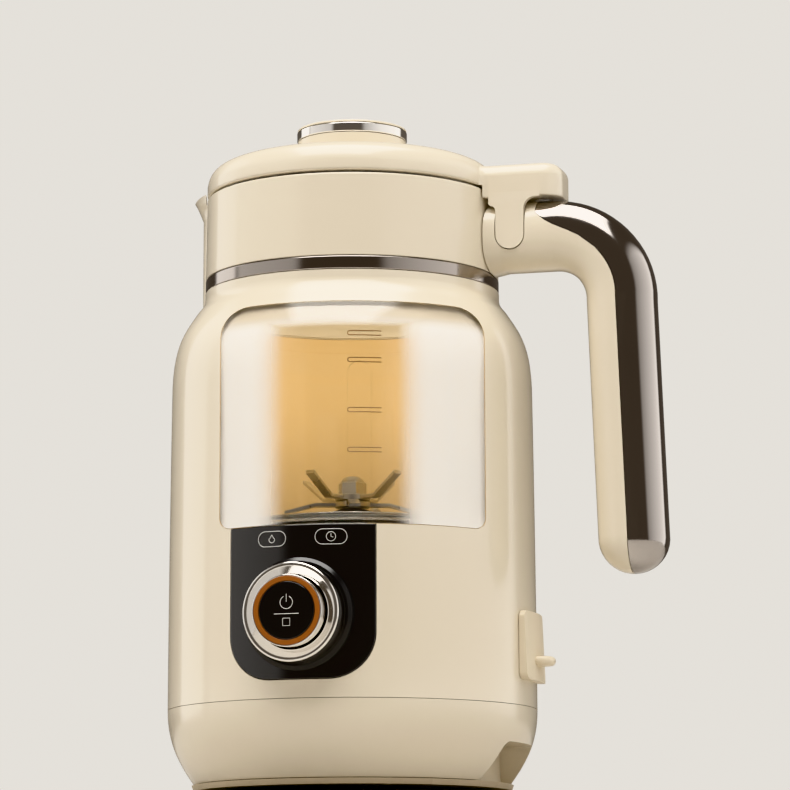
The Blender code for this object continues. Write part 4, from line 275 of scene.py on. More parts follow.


# Window frosting: whitish where the mask says, which at the sides is painted reflection; towards the top its
# colour turns a darker grey-beige, painted shade over the window's fade
def newFrostSheenAndShade(name, shadedUpperColour):
    look = newFinish(name, (0.95, 0.935, 0.915), (0.93, 0.91, 0.885), (0.40, 0.5), bump=0.05)
    tree = look.node_tree
    mask = addNode(tree, "ShaderNodeGroup", node_tree=makeFrostAndSheenMask())
    main = tree.nodes["Principled BSDF"]
    plug(tree, (mask, "Share", main, "Alpha"))
    mix = addNode(tree, "ShaderNodeMix", data_type="RGBA")
    tree.links.new(main.inputs["Base Color"].links[0].from_socket, mix.inputs["A"])
    mix.inputs["B"].default_value = (*shadedUpperColour, 1)
    plug(tree, (mask, "Upper", mix, "Factor"), (mix, "Result", main, "Base Color"))
    return look


# The lighter edgeColour values below are partly rubbed wear and partly painted edge highlight
looks = {
    "cream": newFinish(
        "creamPlastic", (0.80, 0.725, 0.585), (0.785, 0.708, 0.565), (0.24, 0.265), bump=0.012,
        edge=0.25, edgeColour=(0.88, 0.82, 0.70), shader={"Coat Weight": 0.6, "Coat Roughness": 0.05},
    ),
    "bottom": newFinish("bottomPlastic", (0.60, 0.51, 0.37), (0.55, 0.46, 0.33), (0.42, 0.55), bump=0.08),
    "white": newFinish("whitePlastic", (0.80, 0.78, 0.73), (0.74, 0.72, 0.67), (0.38, 0.48), bump=0.05),
    "dark": newFinish(
        "darkPlastic", (0.028, 0.027, 0.027), (0.04, 0.038, 0.036), (0.30, 0.45), bump=0.06,
        edge=0.3, edgeColour=(0.09, 0.09, 0.09),
    ),
    "panel": newFinish(
        "panelGloss", (0.006, 0.006, 0.007), (0.010, 0.010, 0.011), (0.10, 0.14), bump=0.004,
        shader={"Coat Weight": 0.8, "Coat Roughness": 0.03, "IOR": 1.65},
    ),
    "bezel": newFinish("satinBezel", (0.010, 0.010, 0.011), (0.016, 0.016, 0.017), (0.16, 0.24), bump=0.02),
    "chrome": newFinish(
        "polishedChrome", (0.86, 0.84, 0.81), (0.80, 0.78, 0.75), (0.04, 0.10), bump=0.004,
        edge=0.3, edgeColour=(0.95, 0.94, 0.92), dust=0.01, shader={"Metallic": 1.0},
    ),
    "darkChrome": newFinish(
        "darkChrome", (0.47, 0.44, 0.42), (0.43, 0.40, 0.38), (0.06, 0.12), bump=0.004,
        edge=0.2, edgeColour=(0.60, 0.57, 0.54), dust=0.01, shader={"Metallic": 1.0},
    ),
    "bandChrome": newFinish(
        "bandChrome", (0.40, 0.365, 0.34), (0.36, 0.33, 0.305), (0.08, 0.14), bump=0.004,
        edge=0.3, edgeColour=(0.75, 0.72, 0.68), dust=0.01, shader={"Metallic": 1.0},
    ),
    # The sleeve's emission is painted light: it glows though it is no lamp, to brighten what is seen through
    # the window
    "sleeve": newFinish(
        "warmSleevePaintedGlow", (0.73, 0.55, 0.31), (0.68, 0.50, 0.27), (0.35, 0.5), bump=0.03,
        shader={"Emission Strength": 0.17, "Emission Color": (0.92, 0.64, 0.27, 1)},
    ),
    "steel": newFinish(
        "brushedSteel", (0.60, 0.59, 0.57), (0.52, 0.51, 0.49), (0.22, 0.36), grain=900, bump=0.06,
        edge=0.4, edgeColour=(0.8, 0.8, 0.78), shader={"Metallic": 1.0},
    ),
    "brass": newFinish(
        "brassPins", (0.74, 0.58, 0.30), (0.66, 0.50, 0.25), (0.2, 0.35), bump=0.04,
        shader={"Metallic": 1.0},
    ),
    "copper": newFinish(
        "copperWinding", (0.66, 0.33, 0.18), (0.55, 0.26, 0.13), (0.3, 0.5), grain=700, bump=0.3,
        shader={"Metallic": 1.0},
    ),
    "rubber": newFinish(
        "blackRubber", (0.035, 0.034, 0.033), (0.05, 0.048, 0.046), (0.7, 0.85), bump=0.15, dust=0.15,
    ),
    "silicone": newFinish(
        "clearSilicone", (0.75, 0.73, 0.68), (0.68, 0.66, 0.61), (0.4, 0.55), bump=0.05,
        shader={"Subsurface Weight": 0.1},
    ),
    "flap": newFinish(
        "creamSilicone", (0.80, 0.71, 0.55), (0.76, 0.665, 0.50), (0.38, 0.48), bump=0.06,
        edge=0.2, edgeColour=(0.88, 0.80, 0.66), dust=0.06,
    ),
    "amber": newFinish(
        "amberLightGuide", (0.29, 0.100, 0.024), (0.25, 0.082, 0.018), (0.25, 0.35), bump=0.02,
        shader={"Emission Strength": 0.03, "Emission Color": (0.75, 0.25, 0.04, 1)},
    ),
    "board": newFinish(
        "circuitBoard", (0.03, 0.16, 0.07), (0.02, 0.10, 0.05), (0.3, 0.5), cloud=160, grain=500, bump=0.2,
    ),
    "print": newFinish(
        "panelPrint", (0.72, 0.72, 0.70), (0.62, 0.62, 0.60), (0.4, 0.5), cloud=400, bump=0.02,
    ),
    "mark": newFinish(
        "levelPrint", (0.36, 0.22, 0.11), (0.30, 0.18, 0.09), (0.4, 0.5), cloud=400, bump=0.02,
    ),
    "window": newClear("clearWindow", (0.985, 0.98, 0.97), (0.01, 0.03), 1.45),
    "jar": newClear("jarPlastic", (0.98, 0.975, 0.965), (0.01, 0.04), 1.42),
}
# The grey-beige top colour is darker than the cream body: painted shade
looks["frost"] = newFrostSheenAndShade("windowFrostSheenAndShade", (0.52, 0.45, 0.345))
print("finishes made:", len(looks))

# Every CAD node gets its finish here; the pieces below then stand for many of them
nodeLooks = {
    "bottom": ["bottom_cover"],
    "white": ["lid_liner", "clamp_ring", "inner_frame"],
    "dark": [
        "selector_encoder", "motor_end_bell", "cooling_fan", "inlet_socket", "reed_switch", "knob_bezel",
    ],
    "panel": ["control_panel", "start_button"],
    "cream": [
        "base_shell", "body_shell", "collar", "pour_spout", "handle_grip", "lid_shell", "lid_knob",
        "knob_cap",
    ],
    "chrome": ["chrome_band", "selector_ring", "knob_ring"],
    "darkChrome": ["handle_cover"],
    "sleeve": ["heat_sleeve"],
    "steel": [
        "cover_screw_1", "cover_screw_2", "cover_screw_3", "handle_screw_1", "handle_screw_2", "lid_magnet",
        "heating_plate", "temperature_probe", "drive_shaft", "lower_blade", "upper_blade", "blade_nut",
        "motor_rotor", "motor_can",
    ],
    "brass": ["inlet_pin_1", "inlet_pin_2", "inlet_pin_3", "shaft_bushing"],
    "copper": ["motor_stator"],
    "rubber": [
        "foot_1", "foot_2", "foot_3", "foot_4", "shaft_seal", "motor_mount_1", "motor_mount_2",
        "motor_mount_3",
    ],
    "silicone": ["lid_gasket", "jar_gasket"],
    "flap": ["inlet_cover"],
    "amber": ["light_ring"],
    "board": ["control_board", "power_board"],
    "window": ["viewing_window"],
    "jar": ["inner_jar"],
}
for finish, names in nodeLooks.items():
    for name in names:
        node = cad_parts[name]
        for slot in node.material_slots:
            slot.material = looks[finish]
print("nodes finished:", sum(len(names) for names in nodeLooks.values()))


# Drawing helpers, all in edit mode as by hand
def pick(piece=None):
    if bpy.context.object and bpy.context.object.mode != "OBJECT":
        bpy.ops.object.mode_set(mode="OBJECT")
    bpy.ops.object.select_all(action="DESELECT")
    if piece:
        piece.select_set(True)
        bpy.context.view_layer.objects.active = piece
    return piece


def applyPlace():
    bpy.ops.object.transform_apply(location=True, rotation=True, scale=True)


def extrude(move):
    bpy.ops.mesh.extrude_region_move(TRANSFORM_OT_translate={"value": move})


def drawLine(name, points):
    pick()
    bpy.ops.mesh.primitive_plane_add(size=mm, location=at(*points[0]))
    piece = bpy.context.object
    piece.name = name
    bpy.ops.object.mode_set(mode="EDIT")
    bpy.ops.mesh.select_mode(type="VERT")
    bpy.ops.mesh.merge(type="CENTER")
    for before, after in zip(points, points[1:]):
        extrude([(far - near) * mm for near, far in zip(before, after)])
    return piece


def closeUp():
    bpy.ops.mesh.select_all(action="SELECT")
    bpy.ops.mesh.remove_doubles(threshold=0.004 * mm)
    bpy.ops.mesh.normals_make_consistent(inside=False)


# A line of radius and height spun round the body's axis, or round the knob's where spot is given
def spinPiece(name, line, steps=128, spot=None):
    if spot:
        points = [(spot[0] + radius, spot[1] - height, spot[2]) for radius, height in line]
        middle, axle = at(*spot), (0, 1, 0)
    else:
        points = [(radius, 0, height) for radius, height in line]
        middle, axle = at(0, 0, 0), (0, 0, 1)
    piece = drawLine(name, points)
    bpy.ops.mesh.select_all(action="SELECT")
    bpy.ops.mesh.spin(steps=steps, angle=2 * pi, center=middle, axis=axle)
    closeUp()
    return pick(piece)


# A closed outline of radius and height spun to a ring
def ringPiece(name, outline, steps=128, spot=None):
    return spinPiece(name, outline + outline[:1], steps, spot)


def barPiece(name, radius, low, high, steps=128, spot=None):
    return spinPiece(name, [(0, low), (radius, low), (radius, high), (0, high)], steps, spot)


# A closed outline of points filled and pushed out to a solid
def pushPiece(name, points, push):
    piece = drawLine(name, points)
    bpy.ops.mesh.select_all(action="SELECT")
    bpy.ops.mesh.edge_face_add()
    extrude([side * mm for side in push])
    closeUp()
    return pick(piece)


# Corners as across, up, roundness; the outline comes back with arcs
def roundOff(corners, steps=5, closed=True):
    points = []
    for index, (across, up, radius) in enumerate(corners):
        if not radius or (not closed and index in (0, len(corners) - 1)):
            points.append((across, up))
            continue
        before, after = corners[index - 1], corners[(index + 1) % len(corners)]
        into = Vector((before[0] - across, before[1] - up)).normalized()
        away = Vector((after[0] - across, after[1] - up)).normalized()
        half = acos(max(-1, min(1, into.dot(away)))) / 2
        reach = radius / tan(half)
        middle = Vector((across, up)) + (into + away).normalized() * radius / sin(half)
        first = Vector((across, up)) + into * reach - middle
        sweep = pi - 2 * half
        if first.x * (into.y - away.y) - first.y * (into.x - away.x) > 0:
            sweep = -sweep
        for step in range(steps + 1):
            turn = sweep * step / steps
            points.append((
                middle.x + first.x * cos(turn) - first.y * sin(turn),
                middle.y + first.x * sin(turn) + first.y * cos(turn),
            ))
    return points


# Two arcs that would meet keep this much straight between them
arcRoom = 0.02


# The outline of a box with round corners, the upper ones like the lower unless given
def roundBox(half, low, high, corner, upperCorner=None, steps=5, middle=0):
    upper = corner if upperCorner is None else upperCorner
    return roundOff([
        (middle - half, low, corner), (middle + half, low, corner),
        (middle + half, high, upper), (middle - half, high, upper),
    ], steps)


# A curve between two points; the shares say how far along the way its four handles lie
def bend(start, end, shares, steps):
    points = []
    for step in range(steps + 1):
        t = step / steps
        weights = ((1 - t) ** 3, 3 * t * (1 - t) ** 2, 3 * t * t * (1 - t), t ** 3)
        across = sum(weight * share[0] for weight, share in zip(weights, shares))
        along = sum(weight * share[1] for weight, share in zip(weights, shares))
        points.append((start[0] + (end[0] - start[0]) * across, start[1] + (end[1] - start[1]) * along))
    return points


# The same line moved to its left by a wall's thickness
def inward(line, wall):
    moved = []
    for index, (across, up) in enumerate(line):
        before, after = line[max(index - 1, 0)], line[min(index + 1, len(line) - 1)]
        run, rise = after[0] - before[0], after[1] - before[1]
        length = hypot(run, rise)
        moved.append((across - rise / length * wall, up + run / length * wall))
    return moved


def radiusAt(line, height):
    for (lowRadius, low), (highRadius, high) in zip(line, line[1:]):
        if low <= height <= high:
            return lowRadius + (highRadius - lowRadius) * (height - low) / (high - low)
    return line[-1][0]


# Points of across and up laid round the body's axis at a radius
def wrap(line, radius, turn=0):
    return [(radius * sin(turn + across / radius), -radius * cos(turn + across / radius), up)
            for across, up in line]


# An outline of across and up, facing out from the body in a direction, pushed from one radius to another
def outwardPiece(name, outline, direction, start, end):
    out = Vector((sin(direction), -cos(direction), 0))
    side = Vector((cos(direction), sin(direction), 0))
    points = [tuple(out * start + side * across + Vector((0, 0, up))) for across, up in outline]
    return pushPiece(name, points, out * (end - start))


def carve(piece, tool, how="DIFFERENCE"):
    pick(piece)
    step = piece.modifiers.new("carve", "BOOLEAN")
    step.operation, step.solver, step.object = how, "EXACT", tool
    bpy.ops.object.modifier_apply(modifier="carve")
    bpy.data.objects.remove(tool)
    return piece


def shift(piece, across, along):
    pick(piece)
    applyPlace()
    bpy.ops.transform.translate(value=(across * mm, along * mm, 0))
    return piece


# Rounds over every edge that is sharper than an angle
def soften(piece, width, segments, angle):
    step = pick(piece).modifiers.new("soften", "BEVEL")
    step.width, step.segments = width * mm, segments
    step.limit_method, step.angle_limit = "ANGLE", radians(angle)
    bpy.ops.object.modifier_apply(modifier="soften")
    return piece


def dropSelection(mesh):
    for group in (mesh.vertices, mesh.edges, mesh.polygons):
        for element in group:
            element.select = False


# Rounds over the edges that lie on one level
def roundLevel(piece, level, width, steps):
    pick(piece)
    applyPlace()
    mesh = piece.data
    dropSelection(mesh)
    for edge in mesh.edges:
        edge.select = all(abs(mesh.vertices[end].co.z / mm - level) < 0.02 for end in edge.vertices)
    bpy.ops.object.mode_set(mode="EDIT")
    bpy.ops.mesh.select_mode(type="EDGE")
    bpy.ops.mesh.bevel(offset=width * mm, segments=steps, affect="EDGES")
    closeUp()
    return pick(piece)


def copyPiece(piece, name):
    twin = piece.copy()
    twin.data = piece.data.copy()
    twin.name = name
    bpy.context.scene.collection.objects.link(twin)
    return twin


# A finished piece gets its shading, its finish, its body and the nodes that it stands for
def settle(piece, look, body, nodes=(), smooth=32):
    pick(piece)
    applyPlace()
    bpy.ops.object.shade_smooth_by_angle(angle=radians(smooth))
    weigh = piece.modifiers.new("weigh", "WEIGHTED_NORMAL")   # large faces lead, small roundings follow
    weigh.keep_sharp = True
    bpy.ops.object.modifier_apply(modifier="weigh")
    piece.data.materials.clear()
    piece.data.materials.append(looks[look])
    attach(piece, body)
    if nodes:
        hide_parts(*nodes)
    return piece


# A drawn line turned into a thin raised wire, for prints and level marks
def wirePiece(name, lines, thickness):
    parts = []
    for line in lines:
        part = drawLine(name, line)
        pick(part)
        applyPlace()
        bpy.ops.object.convert(target="CURVE")
        part = bpy.context.object
        part.data.bevel_depth = thickness * mm
        part.data.bevel_resolution = 1
        part.data.use_fill_caps = True
        bpy.ops.object.convert(target="MESH")
        parts.append(bpy.context.object)
    pick(parts[0])
    for part in parts:
        part.select_set(True)
    if len(parts) > 1:
        bpy.ops.object.join()
    piece = bpy.context.object
    piece.name = name
    return piece


# The body's outer line, from the seam over the base up to the neck
bodyForm = {
    "foot": (78.0, 35.2),
    "shoulder": (76.9, 168.0),
    "neck": (63.0, 210.5),
    "top": 213.2,
    "wall": 2.6,
    "sideShares": ((0, 0), (0.10, 0.33), (0.45, 0.66), (1, 1)),
    "shoulderShares": ((0, 0), (0, 0.50), (0.32, 0.635), (0.68, 0.81)),
    "neckShares": ((0.68, 0.81), (0.81, 0.88), (0.99, 0.91), (1, 1)),
    "sideSteps": 9,
    "shoulderSteps": 12,
    "neckSteps": 10,
}


def makeBodyLine():
    form = bodyForm
    foot, shoulder, neck = form["foot"], form["shoulder"], form["neck"]
    line = bend(foot, shoulder, form["sideShares"], form["sideSteps"])
    line += bend(shoulder, neck, form["shoulderShares"], form["shoulderSteps"])[1:]
    line += bend(shoulder, neck, form["neckShares"], form["neckSteps"])[1:]
    return line + [(neck[0], form["top"])]


bodyLine = makeBodyLine()

# Openings in the body; each cut reaches from its first radius to its second
openings = {
    "gap": 0.3,
    "windowTurn": 16.5,
    "windowHalf": 54.5,
    "windowLow": 105.7,
    "windowHigh": 198.5,
    "windowLowCorner": 4.5,
    "windowHighCorner": 12.0,
    "windowCut": (30.0, 90.0),
    "panelHalf": 30.8,
    "panelLow": 42.8,
    "panelCorner": 18.5,
    "panelCut": (50.0, 90.0),
    "socketTurn": 90.0,
    "socketHalf": 14.3,
    "socketLow": 48.7,
    "socketHigh": 71.3,
    "socketCorner": 3.0,
    "socketCut": (30.0, 90.0),
}


def windowOutline(gap):
    half, low, high = openings["windowHalf"] + gap, openings["windowLow"] - gap, openings["windowHigh"] + gap
    lowCorner, highCorner = openings["windowLowCorner"] + gap, openings["windowHighCorner"] + gap
    return roundBox(half, low, high, lowCorner, highCorner, 8)


def panelOutline(gap):
    half, low = openings["panelHalf"] + gap, openings["panelLow"] - gap
    high = openings["windowLow"] - openings["gap"] + gap
    return roundBox(half, low, high, openings["panelCorner"] + gap, 0, 12)


def makeBody():
    shell = ringPiece("bodyShell", bodyLine + inward(bodyLine, bodyForm["wall"])[::-1])
    pane = copyPiece(shell, "viewingWindow")
    gap, turn, cut = openings["gap"], radians(openings["windowTurn"]), openings["windowCut"]
    carve(shell, outwardPiece("windowTool", windowOutline(gap), turn, *cut))
    carve(shell, outwardPiece("panelTool", panelOutline(gap), 0, *openings["panelCut"]))
    socket = roundBox(openings["socketHalf"], openings["socketLow"], openings["socketHigh"],
                      openings["socketCorner"])
    carve(shell, outwardPiece("socketTool", socket, radians(openings["socketTurn"]), *openings["socketCut"]))
    settle(shell, "cream", "housing", ["body_shell"])
    carve(pane, outwardPiece("paneTool", windowOutline(0), turn, *cut), "INTERSECT")
    settle(pane, "window", "housing", ["viewing_window"])


baseForm = {
    "foot": (66.8, 3.9),
    "seam": (78.0, 34.95),
    "shares": ((0, 0), (0.51, 0.27), (1, 0.55), (1, 1)),
    "steps": 16,
    "rim": (76.8, 35.1),
    "tongueOuter": 75.1,
    "tongueInner": 73.5,
    "tongueLow": 31.6,
    "tongueHigh": 37.6,
    "flange": (60.0, 6.5),
    "bayBack": 58.0,
    "bayLow": 26.0,
    "bayHigh": 22.0,
    "bayTop": 19.9,
    "bayCorner": 4.5,
    "bayFloor": 1.9,
    "bayEnd": 84.0,
    "bayWallFloor": 4.3,
    "skirtGap": 0.4,   # the bay's wall stays this far inside the outer face
    "skirtTop": 34.6,
}


def makeBase():
    form = baseForm
    foot, seam = form["foot"][1], form["seam"][1]
    line = bend(form["foot"], form["seam"], form["shares"], form["steps"])
    inner = inward(line, bodyForm["wall"])
    (rim, rimTop), (flange, flangeTop) = form["rim"], form["flange"]
    outside, inside = form["tongueOuter"], form["tongueInner"]
    hidden = [(rim, seam), (rim, rimTop), (outside, rimTop), (outside, form["tongueHigh"])]
    hidden += [(inside, form["tongueHigh"]), (inside, form["tongueLow"])]
    hidden += inner[-3:1:-1] + [(flange, flangeTop), (flange, foot)]
    shell = ringPiece("baseShell", line + hidden)
    low, high, top, back = form["bayLow"], form["bayHigh"], form["bayTop"], form["bayBack"]
    corner, wall, turn = form["bayCorner"], bodyForm["wall"], radians(openings["socketTurn"])
    outer = roundOff([
        (-low - wall, form["bayWallFloor"], 0), (low + wall, form["bayWallFloor"], 0),
        (high + wall, top + wall, corner + wall), (-high - wall, top + wall, corner + wall),
    ], 6)
    bayWall = outwardPiece("bayWall", outer, turn, back - wall, form["seam"][0])
    skirt = [(0, foot)] + inward(line, form["skirtGap"]) + [(0, form["skirtTop"])]
    carve(bayWall, spinPiece("skirtTool", skirt), "INTERSECT")
    carve(shell, bayWall, "UNION")
    bay = roundOff([
        (-low, form["bayFloor"], 0), (low, form["bayFloor"], 0), (high, top, corner), (-high, top, corner),
    ], 6)
    carve(shell, outwardPiece("bayTool", bay, turn, back, form["bayEnd"]))
    settle(shell, "cream", "housing", ["base_shell"])


collarForm = {
    "band": (62.9, 213.5, 219.0),
    "bandBore": 60.4,
    "foot": (62.8, 219.3),
    "top": (62.3, 254.4),
    "bore": 58.6,
    "neckRadius": 60.1,
    "neckDepth": 14.0,
    "ledge": 56.4,   # the jar's lip rests on it
    "ledgeSlope": 238.5,
    "ledgeLow": 240.7,
    "ledgeHigh": 243.7,
    "pourTurn": -90.0,
    "pourHalf": 12.0,
    "pourLow": 247.1,
    "pourHigh": 257.0,
    "pourEnd": 65.0,
}


def makeCollar():
    form = collarForm
    (radius, low, high), bore = form["band"], form["bandBore"]
    band = roundOff([(bore, low, 0), (radius, low, 0.5), (radius, high, 0.5), (bore, high, 0)])
    settle(ringPiece("chromeBand", band), "bandChrome", "housing", ["chrome_band"])
    (footRadius, foot), (topRadius, top), bore = form["foot"], form["top"], form["bore"]
    neck, ledge, end = form["neckRadius"], form["ledge"], foot - form["neckDepth"]
    collar = ringPiece("collarShell", roundOff([
        (neck, end, 0), (neck, foot, 0), (footRadius, foot, 0.4), (topRadius, top, 0.9), (bore, top, 0.5),
        (bore, form["ledgeHigh"], 0), (ledge, form["ledgeHigh"], 0), (ledge, form["ledgeLow"], 0),
        (bore, form["ledgeSlope"], 0), (bore, end, 0),
    ]))
    half, low, high = form["pourHalf"], form["pourLow"], form["pourHigh"]
    gap = [(-half, low), (half, low), (half, high), (-half, high)]
    carve(collar, outwardPiece("pourTool", gap, radians(form["pourTurn"]), ledge, form["pourEnd"]))
    settle(collar, "cream", "housing", ["collar"])


# The pouring lip, bridged over one loop after another
spoutForm = {
    "reach": 71.4,
    "ridge": 66.8,
    "top": 257.7,
    "beak": 248.2,
    "low": 205.5,
    "narrow": 10.0,
    "wide": 17.0,
    "bow": 2.0,   # power of the front's curve, which falls to 1 at the beak's tip
    "bodySink": 0.4,
    "neckBack": 61.9,
    "rimBack": 63.0,
    "rimStart": 254.0,
    "footSteps": ((0, 1.2), (0.5, 0.4), (1.3, 0.0), (5, 0.0), (43.2, 0.0)),
    "footTaper": 1.2,
    "beakSteps": 8,
    "beakPower": 1.25,
    "grooveShares": (0, 0.3, 0.65, 1.0, 1.3),
    "grooveRise": 0.9,
    "grooveSpread": 0.8,
    "grooveTrim": 1.5,
    "grooveWall": 1.3,
}


def spoutLoop(height, reach, halfAngle, sharpness, inset=0.0, steps=12):
    back = spoutForm["neckBack"]
    if height < bodyForm["top"]:
        back = radiusAt(bodyLine, height) - spoutForm["bodySink"]
    if height > spoutForm["rimStart"]:
        back = spoutForm["rimBack"]
    loop = []
    for step in range(-steps // 2, steps // 2 + 1):
        turn = radians(-90 + halfAngle * 2 * step / steps)
        loop.append(((back - inset * 2) * sin(turn), -(back - inset * 2) * cos(turn), height))
    for step in range(steps // 2 - 1, -steps // 2, -1):
        share = 2 * step / steps
        turn = radians(-90 + halfAngle * share)
        out = back + (reach - inset - back) * (1 - abs(share) ** sharpness)
        loop.append((out * sin(turn), -out * cos(turn), height))
    return loop


def selectLevels(piece, low, high):
    bpy.ops.object.mode_set(mode="OBJECT")
    applyPlace()
    dropSelection(piece.data)
    for vertex in piece.data.vertices:
        vertex.select = low - 0.01 < vertex.co.z / mm < high + 0.01
    bpy.ops.object.mode_set(mode="EDIT")


# Level loops drawn one by one, then bridged in pairs and closed at both ends
def bridgeLoops(name, loops):
    parts = []
    for loop in loops:
        part = drawLine(name, loop)
        bpy.ops.mesh.select_all(action="SELECT")
        bpy.ops.mesh.edge_face_add()
        bpy.ops.mesh.delete(type="ONLY_FACE")
        parts.append(pick(part))
    pick(parts[0])
    for part in parts:
        part.select_set(True)
    bpy.ops.object.join()
    piece = bpy.context.object
    bpy.ops.object.mode_set(mode="EDIT")
    levels = [loop[0][2] for loop in loops]
    for low, high in zip(levels, levels[1:]):
        selectLevels(piece, low, high)
        bpy.ops.mesh.bridge_edge_loops()
    for level in (levels[0], levels[-1]):
        selectLevels(piece, level, level)
        bpy.ops.mesh.edge_face_add()
    closeUp()
    return pick(piece)


def makeSpout():
    form = spoutForm
    levels = []
    for rise, lean in form["footSteps"]:
        half = form["narrow"] - lean * form["footTaper"]
        levels.append((form["low"] + rise, form["ridge"] - lean, half, form["bow"]))
    for step in range(1, form["beakSteps"] + 1):
        share = step / form["beakSteps"]
        swell = share ** form["beakPower"]
        levels.append((
            form["beak"] + (form["top"] - form["beak"]) * share,
            form["ridge"] + (form["reach"] - form["ridge"]) * swell,
            form["narrow"] + (form["wide"] - form["narrow"]) * swell,
            form["bow"] - swell,
        ))
    lip = bridgeLoops("pourSpout", [spoutLoop(*level) for level in levels])
    groove, rise = [], form["grooveRise"]
    for share in form["grooveShares"]:
        spread = (form["wide"] - form["narrow"]) * share * form["grooveSpread"]
        groove.append((
            form["beak"] + rise + (form["top"] - form["beak"] - rise) * share,
            form["ridge"] + (form["reach"] - form["ridge"]) * share,
            form["narrow"] + spread - form["grooveTrim"],
            form["bow"] - min(share, 1),
            form["grooveWall"],
        ))
    carve(lip, bridgeLoops("grooveTool", [spoutLoop(*level) for level in groove]))
    settle(lip, "cream", "housing", ["pour_spout"], smooth=40)


# Handle: one swept form, parted along a line into the grip and the chrome cover
handleForm = {
    "arm": 234.3,
    "armSteps": 3,
    "depth": 29.5,
    "width": 26.4,
    "square": 2.5,
    "sides": 48,
    "gap": 0.3,
    "rootStart": 58.0,
    "rootEnd": 69.0,
    "rootShares": (0.6, 0.25, 0.08, 0.0),
    "rootDepth": 1.6,   # at the collar the arm is this much deeper, wider and lower
    "rootWidth": 3.2,
    "rootDrop": 1.3,
    "rootSeat": (63.2, 205.0, 262.0),
    "bendStart": 90.0,
    "bendRadius": 28.5,
    "bendSteps": 18,
    "endAcross": 122.35,
    "endHeight": 104.25,
    "endSteps": 8,
    "tipTurn": 84.0,
    "tipSteps": 9,
    "trimStart": 84.0,
    "trimRise": 8.5,
    "trimShares": ((0, 1), (0.06, 0.80), (0.12, 0.60), (0.20, 0.40), (0.30, 0.25), (0.42, 0.14),
                   (0.55, 0.08), (0.75, 0.02)),
    "trimSteps": 16,
    "trimJoin": 1.0,
    "trimFar": 170.0,
    "trimLow": 86.0,
    "trimHigh": 262.0,
    "trimHalf": 26.0,
}
handleLean = atan2(
    handleForm["bendStart"] + handleForm["bendRadius"] - handleForm["endAcross"],
    handleForm["arm"] - handleForm["bendRadius"] - handleForm["endHeight"],
)


# The free end closes in rings that shrink over nearly a quarter turn
def closeTip(end):
    form = handleForm
    down, reached, size = Vector((sin(handleLean), 0, -cos(handleLean))), 0.0, 1.0
    for step in range(1, form["tipSteps"] + 1):
        turn = radians(form["tipTurn"]) * step / form["tipSteps"]
        fall = form["depth"] / 2 * sin(turn)
        extrude(down * (fall - reached) * mm)
        centre = end + down * fall
        share = cos(turn) / size
        bpy.ops.transform.resize(value=(share, share, share), center_override=at(*centre))
        reached, size = fall, cos(turn)


def sweepHandle(name):
    form = handleForm
    depth, width, arm, start = form["depth"], form["width"], form["arm"], form["rootStart"]
    deeper, wider, lower = form["rootDepth"], form["rootWidth"], form["rootDrop"]
    loop = []
    for step in range(form["sides"]):
        turn = 2 * pi * step / form["sides"]
        up = (depth + deeper) / 2 * copysign(abs(cos(turn)) ** (2 / form["square"]), cos(turn))
        side = (width + wider) / 2 * copysign(abs(sin(turn)) ** (2 / form["square"]), sin(turn))
        loop.append((start, side, arm - lower + up))
    piece = drawLine(name, loop)
    bpy.ops.mesh.select_all(action="SELECT")
    bpy.ops.mesh.edge_face_add()
    centre, past = [start, arm - lower], [depth + deeper, width + wider]
    for share in form["rootShares"]:
        across = start + (form["rootEnd"] - start) * (1 - share)
        height = arm - lower * share
        size = [depth + deeper * share, width + wider * share]
        extrude(((across - centre[0]) * mm, 0, (height - centre[1]) * mm))
        bpy.ops.transform.resize(value=(1, size[1] / past[1], size[0] / past[0]),
                                 center_override=at(across, 0, height))
        centre, past = [across, height], size
    bendStart, bendRadius = form["bendStart"], form["bendRadius"]
    run = (bendStart - centre[0]) / form["armSteps"]
    for step in range(form["armSteps"]):
        extrude((run * mm, 0, 0))
    bpy.ops.mesh.spin(steps=form["bendSteps"], angle=handleLean - pi / 2, axis=(0, 1, 0),
                      center=at(bendStart, 0, arm - bendRadius))
    bendEnd = Vector((
        bendStart + bendRadius * cos(handleLean), 0, arm - bendRadius + bendRadius * sin(handleLean),
    ))
    end = Vector((form["endAcross"], 0, form["endHeight"]))
    for step in range(form["endSteps"]):
        extrude((end - bendEnd) * mm / form["endSteps"])
    closeTip(end)
    closeUp()
    return pick(piece)


def trimTool(name, gap):
    form = handleForm
    start, radius, middle = form["bendStart"], form["bendRadius"], form["arm"] - form["bendRadius"]
    steps = form["trimSteps"]
    turns = [pi / 2 + (handleLean - pi / 2) * step / steps for step in range(steps + 1)]
    parting = [(start + radius * cos(turn), middle + radius * sin(turn)) for turn in turns]
    parting.append((form["endAcross"], form["endHeight"]))
    run = start + radius - form["trimStart"]
    line = []
    for share, rise in form["trimShares"]:
        across = form["trimStart"] + run * share
        reach = min(max(across - start, 0), radius)
        below = radius - sqrt(radius ** 2 - reach ** 2)
        line.append((across, form["arm"] - below + form["trimRise"] * rise))
    line += [point for point in parting if point[0] > line[-1][0] + form["trimJoin"]]
    line = inward(line, -gap)
    line[0] = (form["trimStart"] - gap, line[0][1])
    far, low, high, half = form["trimFar"], form["trimLow"], form["trimHigh"], form["trimHalf"]
    line += [(line[-1][0], low), (far, low), (far, high), (form["trimStart"] - gap, high)]
    return pushPiece(name, [(across, -half, height) for across, height in line], (0, 2 * half, 0))


# The lid's ears, and the pockets for them in the grip
earForm = {
    "middle": 73.0,
    "half": 6.1,
    "thick": 2.6,
    "proud": 0.04,
    "bottom": 227.7,
    "step": 246.4,
    "stepReach": 3.0,
    "shelf": 249.6,
    "shelfReach": 7.0,
    "top": 252.0,
    "room": 0.4,
    "floorRoom": 0.3,
    "pocketEnd": 40.0,
}


